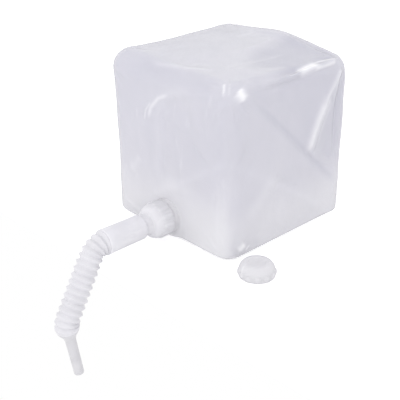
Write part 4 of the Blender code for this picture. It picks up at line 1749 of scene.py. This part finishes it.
@dataclass
class Studio:
    """The pale table, the white surroundings, the lamps and the camera."""

    table_near: float = -0.222
    table_far: float = 2.4
    table_half: float = 2.2
    table_top: float = -0.0002
    table_thickness: float = 0.030
    table_glow: Ramp = (-0.215, -0.150, 0.75, 0.50)
    room_light: Point = (0.99, 0.985, 1.0)
    aim: Point = (0.0, 0.0, 0.12)
    lens: float = 79.15
    eye: Point = (0.82727, -0.85235, 0.61372)
    eye_turn: Point = (math.radians(63.33), 0.0, math.radians(46.14))

    def build(self) -> None:
        """Builds the whole studio."""
        self.table()
        self.world()
        self.lamp("window_behind", Vector((0.743, 1.30, 1.818)), 0.42, 3.5, True)
        self.lamp("fill_front", Vector((0.95, -2.00, 0.65)), 1.4, 7.5, False)
        self.lamp("sky_left", Vector((-0.50, -1.00, 2.00)), 0.8, 2.6, False)
        camera = bpy.data.cameras.new("camera")
        camera.sensor_width, camera.lens = 36.0, self.lens
        obj = new_piece("camera", camera)
        obj.location, obj.rotation_euler = self.eye, self.eye_turn
        bpy.context.scene.camera = obj

    def table(self) -> None:
        """Builds the table top that the bag stands on; the spout hangs past its near edge."""
        shape = bmesh.new()
        bmesh.ops.create_cube(shape, size=1.0)
        depth, thickness = self.table_far - self.table_near, self.table_thickness
        bmesh.ops.scale(shape, vec=(2 * self.table_half, depth, thickness), verts=shape.verts)
        centre = Vector((0.0, self.table_near + depth / 2, self.table_top - thickness / 2))
        bmesh.ops.translate(shape, vec=centre, verts=shape.verts)
        bmesh.ops.bevel(shape, geom=shape.edges[:], offset=0.004, segments=4, profile=0.5, affect="EDGES")
        mesh = bpy.data.meshes.new("table_top")
        shape.to_mesh(mesh)
        shape.free()
        material, graph, shader, place = fresh_material("table_white")
        graph.fill(shader, {"Base Color": (0.90, 0.90, 0.90), "Roughness": 0.55})
        seen = graph.node("ShaderNodeLightPath", output="Is Camera Ray")
        bright = seen * graph.ramp(graph.node("ShaderNodeSeparateXYZ", {0: place}, "Y"), *self.table_glow)
        glow = graph.node("ShaderNodeEmission", {"Color": (1.0, 1.0, 1.0), "Strength": bright})
        both = graph.node("ShaderNodeAddShader", {0: Signal(graph, shader.outputs[0]), 1: glow})
        end = next(n for n in material.node_tree.nodes if n.type == "OUTPUT_MATERIAL")
        graph.fill(end, {"Surface": both})
        mesh.materials.append(material)
        new_piece("table_top", mesh)

    def world(self) -> None:
        """Makes the surroundings white where they are seen, and softer as a light."""
        world = bpy.data.worlds.new("white_room")
        bpy.context.scene.world = world
        world.use_nodes = True
        world.node_tree.nodes.clear()
        graph = Graph(world.node_tree)
        camera = graph.node("ShaderNodeLightPath", output="Is Camera Ray")
        mirrored = graph.most(camera.other("Is Glossy Ray"), camera.other("Is Transmission Ray"))
        seen = graph.most(camera, mirrored)
        colours = (self.room_light, (1.0, 1.0, 1.0))
        light, white = (graph.node("ShaderNodeBackground", {"Color": colour}) for colour in colours)
        mix = graph.node("ShaderNodeMixShader", {0: seen, 1: light, 2: white})
        graph.fill(graph.tree.nodes.new("ShaderNodeOutputWorld"), {"Surface": mix})

    def lamp(self, name: str, place: Vector, size: float, power: float, mirrored: bool) -> None:
        """Adds a soft square lamp that faces the bag.

        Args:
            name: its name.
            place: where it hangs.
            size: how wide it is.
            power: its watts.
            mirrored: whether glossy surfaces show it.
        """
        light = bpy.data.lights.new(name, "AREA")
        light.size, light.energy = size, power
        obj = new_piece(name, light)
        obj.location = place
        obj.rotation_euler = (Vector(self.aim) - place).to_track_quat("-Z", "Y").to_euler()
        obj.visible_camera = False
        obj.visible_glossy = mirrored


def main() -> None:
    """Builds the carrier in order, then the studio."""
    logging.basicConfig(level=logging.INFO, format="%(message)s")
    bpy.context.scene.view_settings.view_transform = "Standard"
    for name in ("Cube", "Light", "Camera"):
        if name in bpy.data.objects:
            bpy.data.objects.remove(bpy.data.objects[name], do_unlink=True)
    shop, neck, bellows = Workshop(), Neck(), Bellows()
    for assembly in (FilmBag(), neck, Collar(neck), Sleeve(neck), bellows, Tip(bellows), ClosingCap()):
        for piece in assembly.build(shop):
            LOG.info("%s: %d faces", piece.name, len(piece.data.polygons))
    Studio().build()


if __name__ == "__main__":
    main()
